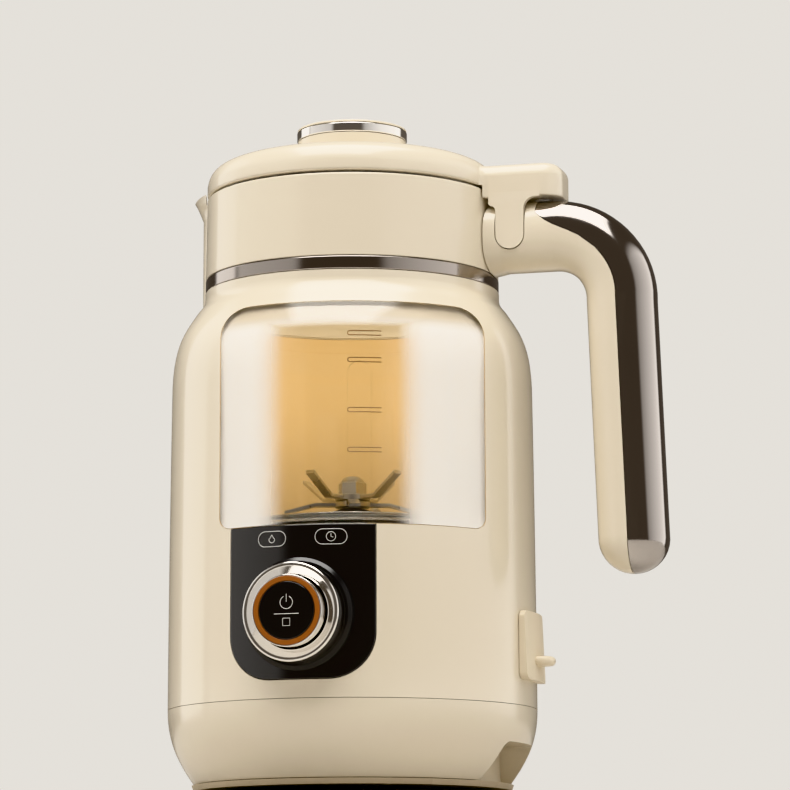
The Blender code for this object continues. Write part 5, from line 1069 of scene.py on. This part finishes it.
def earTool(name, gap, near, far):
    form = earForm
    half, top = form["half"] + gap, form["top"]
    left, right = form["middle"] - half, form["middle"] + half
    bottom, step, shelf = form["bottom"] - gap, form["step"] - gap, form["shelf"] - gap
    outline = roundOff([
        (right + form["shelfReach"], top, 0), (right + form["shelfReach"], shelf, 0), (right, shelf, 5.0),
        (right, bottom, half - arcRoom), (left, bottom, half - arcRoom), (left, step, 2.2),
        (left - form["stepReach"], step, 1.2), (left - form["stepReach"], top, 0),
    ], 8)
    return pushPiece(name, [(across, near, height) for across, height in outline], (0, far - near, 0))


def makeHandle():
    grip = sweepHandle("handleGrip")
    cover = copyPiece(grip, "handleCover")
    carve(cover, trimTool("coverTool", 0.0), "INTERSECT")
    settle(cover, "darkChrome", "housing", ["handle_cover"])
    carve(grip, trimTool("gripTool", handleForm["gap"]))
    carve(grip, barPiece("rootTool", *handleForm["rootSeat"]))
    floor = handleForm["width"] / 2 - earForm["thick"] - earForm["floorRoom"]
    room, end = earForm["room"], earForm["pocketEnd"]
    carve(grip, earTool("frontPocketTool", room, -end, -floor))
    carve(grip, earTool("rearPocketTool", room, floor, end))
    settle(grip, "cream", "housing", ["handle_grip"])


lidForm = {
    "radius": 62.3,
    "low": 255.5,
    "chamfer": 1.2,
    "side": 4.5,
    "top": 272.6,
    "seat": 25.0,
    "wall": 2.4,
    "bore": 8.3,
    "domeShares": ((0, 0), (0.03, 0.60), (0.15, 0.72), (0.45, 0.86)),
    "crownShares": ((0.45, 0.86), (0.70, 0.97), (0.85, 1), (1, 1)),
    "magnet": (3.8, 240.0, 253.25),
    "magnetAcross": 85.0,
    "tabStart": 47.0,
    "tabEnd": 94.5,
    "tabHalf": 13.2,
    "tabLow": 250.05,
    "tabTop": 264.7,
    "tabCorner": 9.0,
    "tabFillet": 6.0,
    "tabSink": 0.8,   # the flare starts this far inside the lid's side
    "tabTopRound": 5.6,
    "tabLowRound": 0.6,
    "tabSeat": (63.2, 240.0),
}


# The tab over the handle flares into the lid, and is cut to the collar and to the lid's hollow
def makeTab(inner):
    form = lidForm
    radius, low, wall = form["radius"], form["low"], form["wall"]
    half, fillet, start, end = form["tabHalf"], form["tabFillet"], form["tabStart"], form["tabEnd"]
    spot = sqrt((radius - form["tabSink"] + fillet) ** 2 - (half + fillet) ** 2), half + fillet
    lean = pi + atan2(spot[1], spot[0])
    turns = [lean + (1.5 * pi - lean) * step / 6 for step in range(6)]
    flare = [(spot[0] + fillet * cos(turn), spot[1] + fillet * sin(turn)) for turn in turns]
    corner = form["tabCorner"]
    tip = roundOff([(spot[0], -half, 0), (end, -half, corner), (end, half, corner), (spot[0], half, 0)], 10)
    plan = [(start, -flare[0][1])] + [(x, -y) for x, y in flare] + tip + flare[::-1] + [(start, flare[0][1])]
    floor, top = form["tabLow"], form["tabTop"]
    tab = pushPiece("lidTab", [(x, y, floor) for x, y in plan], (0, 0, top - floor))
    roundLevel(tab, top, form["tabTopRound"], 8)
    roundLevel(tab, floor, form["tabLowRound"], 3)
    carve(tab, barPiece("tabTool", *form["tabSeat"], low))
    hollow = [(0, low - 1), (radius - wall, low - 1), (radius - wall, low + form["side"])]
    carve(tab, spinPiece("hollowTool", hollow + inner + [(0, form["top"] - wall)]))
    return tab


def makeLid():
    form = lidForm
    radius, low, wall, bore = form["radius"], form["low"], form["wall"], form["bore"]
    side, seat = (radius, low + form["side"]), (form["seat"], form["top"])
    edge = roundOff([(radius - 3, low, 0), (radius, low, form["chamfer"]), (*side, 0)], 5, False)
    dome, crown = bend(side, seat, form["domeShares"], 12), bend(side, seat, form["crownShares"], 8)
    outer = edge[1:] + dome[1:] + crown[1:]
    inner = inward(outer, wall)[8:]
    outline = outer + [(bore, form["top"]), (bore, form["top"] - wall)] + inner[::-1]
    outline += [(radius - wall, low + form["side"]), (radius - wall, low)]
    lid = ringPiece("lidShell", outline)
    carve(lid, makeTab(inner), "UNION")
    for number, hand in enumerate((-1, 1)):
        faces = [(form["tabHalf"] - earForm["thick"]) * hand, (form["tabHalf"] + earForm["proud"]) * hand]
        carve(lid, earTool(f"earTool{number}", 0, min(faces), max(faces)), "UNION")
    carve(lid, shift(barPiece("magnetTool", *form["magnet"], 32), form["magnetAcross"], 0))
    settle(lid, "cream", "lid", ["lid_shell"])


# Knob on the lid: its body, ring and cap as radius, foot and top, and the barb that holds it
lidKnobForm = {
    "body": (23.5, 272.9, 280.4),
    "ring": (23.7, 280.7, 284.6),
    "cap": (23.5, 284.9, 285.8),
    "core": 22.2,
    "ringBore": 22.5,
    "spigot": 8.0,
    "barb": 9.0,
    "barbTip": 7.0,
    "barbFall": 0.7,
    "barbDepth": 3.0,
    "gap": 0.3,
}


def makeLidKnob():
    form = lidKnobForm
    (radius, low, high), top = form["body"], form["ring"][2]
    under, barb, spigot = lidForm["top"] - lidForm["wall"] - form["gap"], form["barb"], form["spigot"]
    knob = roundOff([
        (0, under - form["barbDepth"], 0), (form["barbTip"], under - form["barbDepth"], 0),
        (barb, under - form["barbFall"], 0), (barb, under, 0), (spigot, under, 0), (spigot, low, 0),
        (radius, low, 1.2), (radius, high, 0.3), (form["core"], high, 0), (form["core"], top, 0),
        (0, top, 0),
    ], 5, False)
    settle(spinPiece("lidKnob", knob), "cream", "lid", ["lid_knob"])
    (radius, low, high), bore = form["ring"], form["ringBore"]
    ring = roundOff([(bore, low, 0), (radius, low, 0.4), (radius, high, 0.4), (bore, high, 0)])
    settle(ringPiece("knobRing", ring), "chrome", "lid", ["knob_ring"])
    radius, low, high = form["cap"]
    cap = roundOff([(0, low, 0), (radius, low, 0.2), (radius, high, 0.6), (0, high, 0)], 5, False)
    settle(spinPiece("knobCap", cap), "cream", "lid", ["knob_cap"])


panelForm = {"proud": 0.2, "thick": 2.0, "edge": 0.55, "boreStart": -16.0, "boreEnd": 8.0}

# Bezel, turning ring and button, spun round the knob's own axis; heights count outward from its spot
knobForm = {
    "spot": (0, -78.0, 69.0),
    "bore": 15.2,
    "bezel": 23.0,
    "bezelLip": 21.4,
    "bezelLow": -4.5,
    "bezelEdge": 0.5,
    "bezelTop": 1.8,
    "bezelSeat": (78.5, 36.0, 101.0),
    "ring": 20.2,
    "ringLow": 2.1,
    "rim": 11.0,
    "lip": 0.8,
    "dish": (15.7, 9.0),
    "step": 3.7,
    "stem": (13.2, 14.8),
    "stemEnd": -7.5,
    "button": 14.6,
    "crown": 11.6,
    "face": 16.0,
    "shoulder": 14.6,
    "skirtLow": 6.5,
    "hollow": 12.6,
    "hollowTop": 12.6,
    "plunger": 3.5,
    "plungerEnd": -6.8,
    "lightInner": 11.9,
    "lightOuter": 13.9,
    "lightLow": 14.7,
    "lightTop": 15.95,
    "trim": 0.45,
    "trimBore": 13.95,
    "trimTop": 15.7,
    "trimGap": 0.05,
}


def makePanel():
    form, spot, bore = knobForm, knobForm["spot"], knobForm["bore"]
    front, back = inward(bodyLine, -panelForm["proud"]), inward(bodyLine, panelForm["thick"])
    panel = ringPiece("controlPanel", front + back[::-1])
    carve(panel, outwardPiece("panelForm", panelOutline(0), 0, *openings["panelCut"]), "INTERSECT")
    soften(panel, panelForm["edge"], 3, 60)
    carve(panel, barPiece("panelBore", bore, panelForm["boreStart"], panelForm["boreEnd"], 96, spot))
    settle(panel, "panel", "housing", ["control_panel"])
    low, edge, top = form["bezelLow"], form["bezelEdge"], form["bezelTop"]
    bezel = ringPiece("knobBezel", roundOff([
        (bore, low, 0), (form["bezel"], low, 0), (form["bezel"], edge, 0.3), (form["bezelLip"], top, 1.0),
        (bore, top, 0.4),
    ], 5), 128, spot)
    carve(bezel, barPiece("bezelTool", *form["bezelSeat"]))
    settle(bezel, "bezel", "housing", ["knob_bezel"])


def makeSelector():
    form = knobForm
    outer, bore, rim, lip = form["ring"], form["bore"], form["rim"], form["lip"]
    (inside, outside), end, low = form["stem"], form["stemEnd"], form["ringLow"]
    dish, depth = form["dish"]
    ring = roundOff([
        (inside, end, 0), (outside, end, 0), (outside, low, 0), (outer, low, 0.6), (outer, rim, lip),
        (outer - lip * 2 - 0.1, rim, lip), (dish, depth, 0.4), (bore, depth - 0.2, 0.1),
        (bore, form["step"], 0), (inside, low, 0),
    ], 7)
    settle(ringPiece("selectorRing", ring, 160, form["spot"]), "chrome", "selector",
           ["selector_ring"])


def makeButton():
    form, spot = knobForm, knobForm["spot"]
    button, face, crown, shoulder = form["button"], form["face"], form["crown"], form["shoulder"]
    side, skirt, hollow, roof = button - form["trim"], form["skirtLow"], form["hollow"], form["hollowTop"]
    plunger, end = form["plunger"], form["plungerEnd"]
    cap = roundOff([
        (0, end, 0), (plunger, end, 0), (plunger, roof, 0), (hollow, roof, 0), (hollow, skirt, 0),
        (side, skirt, 0), (side, shoulder, 0), (crown, shoulder, 0), (crown, face, 0.25), (0, face, 0),
    ], 4, False)
    settle(spinPiece("startButton", cap, 128, spot), "panel", "button", ["start_button"])
    inner, outer, low, top = form["lightInner"], form["lightOuter"], form["lightLow"], form["lightTop"]
    guide = roundOff([(inner, low, 0), (outer, low, 0), (outer, top, 0.25), (inner, top, 0.25)], 4)
    settle(ringPiece("lightRing", guide, 128, spot), "amber", "button", ["light_ring"])
    inner, bore, top = side + form["trimGap"], form["trimBore"], form["trimTop"]
    trim = roundOff([
        (inner, skirt, 0), (button, skirt, 0), (button, top, 0.3), (bore, top, 0.2), (bore, low, 0),
        (inner, low, 0),
    ], 4)
    settle(ringPiece("buttonTrim", trim, 128, spot), "chrome", "button")


jarForm = {
    "radius": 56.0,
    "bore": 53.6,
    "low": 107.3,
    "floor": 110.3,
    "hole": 40.0,
    "lip": (58.0, 244.0, 246.6),
    "ribTurns": (-47.0, 73.0, 193.0),
    "ribWidth": 10.6,
    "ribLow": 128.0,
    "ribHigh": 193.5,
    "ribDepth": 3.0,
    "ribSink": 1.2,
}


def makeJar():
    form = jarForm
    radius, bore, hole = form["radius"], form["bore"], form["hole"]
    low, floor, (lip, under, top) = form["low"], form["floor"], form["lip"]
    jar = ringPiece("innerJar", roundOff([
        (hole, low, 0.6), (radius, low, 4.0), (radius, under, 0.8), (lip, under, 0.6),
        (lip, top, 0.8), (bore, top, 0.8), (bore, floor, 3.0), (hole, floor, 0.6),
    ], 6), 144)
    half = form["ribWidth"] / 2
    outline = roundBox(half, form["ribLow"], form["ribHigh"], half - arcRoom, steps=10)
    start, end = bore - form["ribDepth"], bore + form["ribSink"]
    for number, turn in enumerate(form["ribTurns"]):
        carve(jar, outwardPiece(f"jarRib{number}", outline, radians(turn), start, end), "UNION")
    settle(jar, "jar", "housing", ["inner_jar"], smooth=40)


# Level marks printed on the jar, an open-ended loop for each filling height
markForm = {
    "turn": 22.0,
    "width": 13.0,
    "heights": (187.4, 176.2, 155.3, 138.7),
    "curl": 0.9,
    "stride": 1.5,
    "proud": 0.06,
    "thickness": 0.24,
}


def makeMarks():
    form = markForm
    half, curl, reach = form["width"] / 2, form["curl"], jarForm["radius"] + form["proud"]
    lines = []
    for height in form["heights"]:
        outline = [(half, height + curl)]
        for step in range(9):
            turn = pi / 2 + pi * step / 8
            outline.append((-half + curl * cos(turn), height + curl * sin(turn)))
        outline.append((half, height - curl))
        points = []
        for (across, up), (nextAcross, nextUp) in zip(outline, outline[1:]):
            run, rise = nextAcross - across, nextUp - up
            parts = max(1, round(hypot(run, rise) / form["stride"]))
            points += [(across + run * part / parts, up + rise * part / parts) for part in range(parts)]
        points.append(outline[-1])
        lines.append(wrap(points, reach, radians(form["turn"])))
    settle(wirePiece("levelMarks", lines, form["thickness"]), "mark", "housing")


# A blade is two crossed bars on a hub, whose ends rise or fall past the knee
bladeForm = {
    "hub": 7.5,
    "bore": 4.3,
    "height": 2.6,
    "thickness": 1.4,
    "flat": 5.0,
    "knee": 0.55,
    "root": 10.0,
    "tip": 4.5,
    "tipStart": 0.9,
    "tipLead": 1.5,
    "edge": 0.2,
}


def makeBlade(name, span, low, rise, turn, node):
    form = bladeForm
    radius, bore, high = form["hub"], form["bore"], low + form["height"]
    collar = roundOff([(bore, low, 0.3), (radius, low, 0.4), (radius, high, 0.4), (bore, high, 0.3)], 3)
    hub = ringPiece(name, collar, 48)
    half, middle, root = form["thickness"] / 2, low + form["height"] / 2, form["root"]
    flat, knee = form["flat"], span * form["knee"]
    spots, lifts = (-span, -knee, -flat, flat, knee, span), (rise, 0, 0, 0, 0, rise)
    for number in range(2):
        under = [(spot, -root / 2, middle + lift - half) for spot, lift in zip(spots, lifts)]
        over = [(spot, -root / 2, middle + lift + half) for spot, lift in zip(spots, lifts)]
        wing = pushPiece(f"{name}Wing{number}", under + over[::-1], (0, root, 0))
        pick(wing)
        applyPlace()
        for vertex in wing.data.vertices:
            vertex.select = abs(vertex.co.x - axisX) > span * form["tipStart"] * mm
        bpy.ops.object.mode_set(mode="EDIT")
        bpy.ops.transform.resize(value=(1, form["tip"] / root, 1),
                                 center_override=at(0, form["tipLead"], low))
        pick(wing)
        bpy.ops.transform.rotate(value=-radians(turn + 90 * number), orient_axis="Z",
                                 center_override=at(0, 0, 0))
        applyPlace()
        carve(hub, wing, "UNION")
    carve(hub, barPiece("bladeBore", bore, low - 6, low + 14, 48))
    soften(hub, form["edge"], 2, 50)
    settle(hub, "steel", "rotor", [node])


driveForm = {
    "plate": 47.0,
    "plateLow": 112.1,
    "plateTop": 114.0,
    "well": 39.7,
    "wellLow": 96.0,
    "bore": 11.3,
    "hubFoot": 17.0,
    "hub": 13.0,
    "hubTop": 118.0,
    "probe": 2.5,
    "probeTop": 126.0,
    "probeAlong": 35.2,
    "probeHole": (2.8, 90.0, 120.0),
    "shaft": 4.0,
    "shaftLow": 7.5,
    "shaftTop": 133.0,
    "lowerBlade": (28.9, 121.3, -3.5, 20.0),
    "upperBlade": (25.9, 124.2, 9.0, 65.0),
}


def makeDrive():
    form = driveForm
    well, bottom, bore = form["well"], form["wellLow"], form["bore"]
    plate, low, top, hubTop = form["plate"], form["plateLow"], form["plateTop"], form["hubTop"]
    heater = ringPiece("heatingPlate", roundOff([
        (bore, bottom, 0.3), (well, bottom, 0.5), (well, low, 0.3), (plate, low, 0.4), (plate, top, 0.8),
        (form["hubFoot"], top, 3.0), (form["hub"], hubTop, 1.2), (bore, hubTop, 0.3),
    ], 5))
    carve(heater, shift(barPiece("probeBore", *form["probeHole"], 32), 0, form["probeAlong"]))
    settle(heater, "steel", "housing", ["heating_plate"])
    radius, top = form["probe"], form["probeTop"]
    line = roundOff([(0, bottom, 0), (radius, bottom, 0.3), (radius, top, 1.9), (0, top, 0)], 6, False)
    probe = shift(spinPiece("temperatureProbe", line, 32), 0, form["probeAlong"])
    settle(probe, "steel", "housing", ["temperature_probe"])
    radius, low, top = form["shaft"], form["shaftLow"], form["shaftTop"]
    shaft = roundOff([(0, low, 0), (radius, low, 0.4), (radius, top, 0.6), (0, top, 0)], 4, False)
    settle(spinPiece("driveShaft", shaft, 48), "steel", "rotor", ["drive_shaft"])
    makeBlade("lowerBlade", *form["lowerBlade"], "lower_blade")
    makeBlade("upperBlade", *form["upperBlade"], "upper_blade")


# Cap nut: a hexagon under a dome, drilled for the shaft; the heights count from its foot
nutForm = {
    "low": 127.1,
    "radius": 6.2,
    "side": 4.6,
    "bevel": 0.8,
    "height": 5.2,
    "dome": 4.9,
    "domeRoot": 4.0,
    "domeStart": 5.1,
    "domeTop": 135.0,
    "domeShares": ((0, 0), (0, 0.6), (0.45, 1), (1, 1)),
    "bore": 4.3,
    "boreTop": 133.3,
}


def makeNut():
    form = nutForm
    low, radius, dome = form["low"], form["radius"], form["dome"]
    side, high = low + form["side"], low + form["height"]
    line = [(0, low), (radius, low), (radius, side), (radius - form["bevel"], high), (0, high)]
    nut = spinPiece("bladeNut", line, 6)
    root = low + form["domeRoot"]
    arch = bend((dome, low + form["domeStart"]), (0, form["domeTop"]), form["domeShares"], 10)
    carve(nut, spinPiece("nutDome", [(0, root), (dome, root)] + arch, 64), "UNION")
    carve(nut, barPiece("nutBore", form["bore"], low - 4, form["boreTop"], 48))
    settle(nut, "steel", "rotor", ["blade_nut"])


# Warm sleeve behind the jar, open at the window and cut back behind the panel
sleeveForm = {
    "radius": 66.0,
    "wall": 1.4,
    "low": 87.3,
    "shoulder": 188.0,
    "high": 204.6,
    "clearance": 0.7,
    "openLow": 105.4,
    "openHigh": 202.0,
    "openEnd": 80.0,
    "reliefHalf": 80.0,
    "reliefLow": 84.0,
    "reliefHigh": 107.5,
    "reliefCut": (60.0, 80.0),
}


def makeSleeve():
    form = sleeveForm
    radius, low, high = form["radius"], form["low"], form["high"]
    shell = inward(bodyLine, bodyForm["wall"] + form["clearance"])
    outer = [(radius, low)]
    outer += [(min(radius, across), up) for across, up in shell if form["shoulder"] < up < high]
    outer.append((radiusAt(shell, high), high))
    sleeve = ringPiece("heatSleeve", outer + [(across - form["wall"], up) for across, up in outer[::-1]])
    half, low, high = openings["windowHalf"], form["openLow"], form["openHigh"]
    opening = [(-half, low), (half, low), (half, high), (-half, high)]
    carve(sleeve, outwardPiece("sleeveTool", opening, radians(openings["windowTurn"]), 0, form["openEnd"]))
    half, low, high = form["reliefHalf"], form["reliefLow"], form["reliefHigh"]
    relief = [(-half, low), (half, low), (half, high), (-half, high)]
    carve(sleeve, outwardPiece("reliefTool", relief, 0, *form["reliefCut"]))
    settle(sleeve, "sleeve", "housing", ["heat_sleeve"])


# Frosting on the pane's inside, clear in the middle and milky towards the top and the sides; the whitening
# towards the sides is painted reflection and the darker top colour is painted shade
frostForm = {"outer": 2.9, "inner": 3.1, "inset": 0.3}


def makeFrost():
    outer, inner = inward(bodyLine, frostForm["outer"]), inward(bodyLine, frostForm["inner"])
    film = ringPiece("windowFrost", outer + inner[::-1])
    outline, turn = windowOutline(-frostForm["inset"]), radians(openings["windowTurn"])
    carve(film, outwardPiece("frostTool", outline, turn, *openings["windowCut"]), "INTERSECT")
    settle(film, "frost", "housing")


inletForm = {
    "width": 32.0,
    "low": 45.7,
    "high": 74.3,
    "corner": 3.0,
    "back": 78.2,
    "front": 81.6,
    "draft": 1.2,
    "edge": 0.8,
    "cut": (70.0, 90.0),
    "tabWidth": 12.0,
    "tabLow": 52.2,
    "tabHigh": 56.0,
    "tabRoot": 79.6,
    "tabReach": 88.0,
    "tabCorner": 5.5,
    "tabEdge": 1.7,
}


def makeInletCover():
    form = inletForm
    low, high, back, front = form["low"], form["high"], form["back"], form["front"]
    side = [(back, low), (front, low), (front - form["draft"], high), (back, high)]
    cover = ringPiece("inletCover", side, 160)
    outline, turn = roundBox(form["width"] / 2, low, high, form["corner"], steps=8), openings["socketTurn"]
    carve(cover, outwardPiece("coverForm", outline, radians(turn), *form["cut"]), "INTERSECT")
    soften(cover, form["edge"], 4, 55)
    half, root, reach, corner = form["tabWidth"] / 2, form["tabRoot"], form["tabReach"], form["tabCorner"]
    plan = roundOff([(root, -half, 0), (reach, -half, corner), (reach, half, corner), (root, half, 0)], 8)
    low, high = form["tabLow"], form["tabHigh"]
    tab = pushPiece("pullTab", [(x, y, low) for x, y in plan], (0, 0, high - low))
    carve(cover, soften(tab, form["tabEdge"], 5, 55), "UNION")
    settle(cover, "flap", "inlet_flap", ["inlet_cover"])


feetForm = {"radius": 7.0, "height": 2.1}


def makeFeet():
    radius, height = feetForm["radius"], feetForm["height"]
    line = roundOff([(0, 0, 0), (radius, 0, 0.5), (radius, height, 0.3), (0, height, 0)], 4, False)
    first = spinPiece("rubberFoot1", line, 48)
    applyPlace()
    for number in range(4):
        low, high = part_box(f"foot_{number + 1}")
        foot = copyPiece(first, f"rubberFoot{number + 2}") if number < 3 else first
        middle = (low + high) / 2
        shift(foot, (middle.x - axisX) / mm, (middle.y - axisY) / mm)
        settle(foot, "rubber", "housing", [f"foot_{number + 1}"])


# Printed outlines and plain signs on the panel and the button; a frame is turn, span, foot and top
printForm = {
    "face": 78.2,
    "proud": 0.02,
    "thickness": 0.14,
    "left": (-8.4, 9.0, 96.8, 103.0),
    "right": (10.0, 9.6, 97.1, 103.3),
    "dropHeight": 99.6,
    "clockHeight": 100.2,
    "signProud": 0.06,
    "signThickness": 0.16,
}


def ringOf(across, up, radius, start=0, end=360, steps=24):
    turns = [radians(start + (end - start) * step / steps) for step in range(steps + 1)]
    return [(across + radius * cos(turn), up + radius * sin(turn)) for turn in turns]


def makePrints():
    form = printForm
    face, lines = form["face"], []
    for turn, span, low, high in (form["left"], form["right"]):
        half, middle, radius = face * radians(span) / 2, face * radians(turn), (high - low) / 2 - arcRoom
        frameLine = roundBox(half, low, high, radius, steps=8, middle=middle)
        lines.append(frameLine + frameLine[:1])
    # A drop for rinsing and a clock for the timer
    middle, up = face * radians(form["left"][0]), form["dropHeight"]
    lines.append([(middle, up + 2.0), (middle - 0.9, up + 0.5)] + ringOf(middle, up, 1.25, 160, 380, 16)
                 + [(middle + 0.9, up + 0.5), (middle, up + 2.0)])
    middle, up = face * radians(form["right"][0]), form["clockHeight"]
    lines.append(ringOf(middle, up, 1.9))
    lines.append([(middle, up + 1.2), (middle, up), (middle + 0.9, up - 0.3)])
    wrapped = [wrap(line, face + form["proud"]) for line in lines]
    settle(wirePiece("panelPrints", wrapped, form["thickness"]), "print", "housing")
    # A power sign over a line and a square
    height = knobForm["spot"][2]
    signs = [
        ringOf(0, height + 3.2, 2.6, 115, 425, 24),
        [(0, height + 3.4), (0, height + 6.6)],
        [(-5.2, height - 1.4), (5.2, height - 1.4)],
        [(-1.5, height - 3.2), (1.5, height - 3.2), (1.5, height - 6.2), (-1.5, height - 6.2),
         (-1.5, height - 3.2)],
    ]
    front = knobForm["spot"][1] - knobForm["face"] + form["signProud"]
    flat = [[(across, front, up) for across, up in line] for line in signs]
    settle(wirePiece("buttonSigns", flat, form["signThickness"]), "print", "button")


print("helpers ready")
stages = (
    makeBody, makeBase, makeCollar, makeSpout, makeHandle, makeLid, makeLidKnob, makePanel, makeSelector,
    makeButton, makeJar, makeMarks, makeDrive, makeNut, makeSleeve, makeFrost, makeInletCover, makeFeet,
    makePrints,
)
for stage in stages:
    stage()
    print("modelled:", stage.__name__)


# Studio: a pale floor and soft lamps
studio = {
    "floorSize": 6.0,
    "floorSolid": 0.55,   # the floor melts into the backdrop from here
    "floorGone": 1.0,
    "floorColour": (0.53, 0.505, 0.465),
    "floorDrift": (0.51, 0.485, 0.445),
    "skyColour": (0.83, 0.80, 0.75),
    "roomColour": (0.150, 0.132, 0.115),
    "aim": 0.15,
    "lamps": {
        # name: bearing from the front, distance, height, width, tall, power, brightness from left to right
        "leftSoftbox": (-100, 1.15, 0.35, 0.70, 1.8, 6.0, (1.0, 1.0)),
        "leftWing": (-54, 1.15, 0.35, 1.50, 1.8, 7.2, (1.0, 0.6)),
        "rightSoftbox": (88, 1.10, 0.35, 2.90, 1.8, 14.0, (0.20, 2.1)),
        "topSoftbox": (0, 0.34, 1.42, 1.30, 1.6, 50.0, (1.0, 1.0)),
    },
    "lampColour": (1.0, 0.975, 0.94),
    "rimShare": 0.16,
    "glow": {"place": (0, 0, 182), "radius": 30, "power": 0.15, "colour": (1.0, 0.86, 0.64)},
}


# A softbox fades towards its rim, and may be brighter at one end
def fadeLamp(tree, ends):
    place = addNode(tree, "ShaderNodeNewGeometry")
    parts = addNode(tree, "ShaderNodeSeparateXYZ")
    level = addNode(tree, "ShaderNodeMapRange", {"To Min": ends[0], "To Max": ends[1]})
    plug(tree, (place, "Parametric", parts, "Vector"), (parts, "X", level, "Value"))
    strength = level.outputs["Result"]
    for axis in "XY":
        for rim, inner in ((0, studio["rimShare"]), (1, 1 - studio["rimShare"])):
            edge = addNode(tree, "ShaderNodeMapRange", {"From Min": rim, "From Max": inner},
                           interpolation_type="SMOOTHSTEP")
            times = addNode(tree, "ShaderNodeMath", operation="MULTIPLY")
            plug(tree, (parts, axis, edge, "Value"))
            tree.links.new(strength, times.inputs[0])
            plug(tree, (edge, "Result", times, 1))
            strength = times.outputs["Value"]
    tree.links.new(strength, tree.nodes["Emission"].inputs["Strength"])


def makeFloor():
    bpy.ops.object.select_all(action="DESELECT")
    bpy.ops.mesh.primitive_plane_add(size=studio["floorSize"], location=(axisX, axisY, 0))
    floor = bpy.context.object
    floor.name = "studioFloor"
    look = newFinish(
        "paleFloor", studio["floorColour"], studio["floorDrift"], (0.5, 0.6), bump=0.01, dust=0.0,
    )
    tree = look.node_tree
    main, out = tree.nodes["Principled BSDF"], tree.nodes["Material Output"]
    side = addNode(tree, "ShaderNodeNewGeometry")
    spot = addNode(tree, "ShaderNodeTexCoord")
    away = addNode(tree, "ShaderNodeVectorMath", operation="LENGTH")
    fade = addNode(
        tree, "ShaderNodeMapRange", {"From Min": studio["floorSolid"], "From Max": studio["floorGone"]},
        interpolation_type="SMOOTHSTEP",
    )
    hidden = addNode(tree, "ShaderNodeMath", operation="MAXIMUM")
    clear = addNode(tree, "ShaderNodeBsdfTransparent")
    mix = addNode(tree, "ShaderNodeMixShader")
    plug(
        tree,
        (spot, "Object", away, 0), (away, "Value", fade, "Value"), (fade, "Result", hidden, 0),
        (side, "Backfacing", hidden, 1), (hidden, "Value", mix, "Fac"), (main, "BSDF", mix, 1),
        (clear, "BSDF", mix, 2), (mix, "Shader", out, "Surface"),
    )
    floor.data.materials.append(look)


def makeLamps():
    for name, (bearing, distance, height, width, tall, power, ends) in studio["lamps"].items():
        turn = radians(bearing)
        place = Vector((axisX + distance * sin(turn), axisY - distance * cos(turn), height))
        bpy.ops.object.light_add(type="AREA", location=place)
        lamp = bpy.context.object
        lamp.name = name
        lamp.data.shape = "RECTANGLE"
        lamp.data.size, lamp.data.size_y = width, tall
        lamp.data.energy = power
        lamp.data.color = studio["lampColour"]
        lamp.data.use_nodes = True
        fadeLamp(lamp.data.node_tree, ends)
        towards = Vector((axisX, axisY, studio["aim"])) - place
        lamp.rotation_euler = towards.to_track_quat("-Z", "Y").to_euler()
        lamp.visible_camera = False
    glow = studio["glow"]
    bpy.ops.object.light_add(type="POINT", radius=glow["radius"] * mm, location=at(*glow["place"]))
    lamp = bpy.context.object
    lamp.name = "jarGlow"
    lamp.data.energy, lamp.data.color = glow["power"], glow["colour"]
    lamp.visible_camera = lamp.visible_glossy = lamp.visible_transmission = False


def makeAir():
    world = bpy.data.worlds.new("studioAir")
    world.use_nodes = True
    bpy.context.scene.world = world
    tree = world.node_tree
    room = tree.nodes["Background"]
    room.inputs["Color"].default_value = (*studio["roomColour"], 1)
    room.inputs["Strength"].default_value = 1.0
    sky = addNode(tree, "ShaderNodeBackground", {"Color": (*studio["skyColour"], 1), "Strength": 1.0})
    ray = addNode(tree, "ShaderNodeLightPath")
    mix = addNode(tree, "ShaderNodeMixShader")
    plug(
        tree,
        (ray, "Is Camera Ray", mix, "Fac"), (room, "Background", mix, 1), (sky, "Background", mix, 2),
        (mix, "Shader", tree.nodes["World Output"], "Surface"),
    )


for stage in (makeFloor, makeLamps, makeAir):
    stage()
print("studio ready")
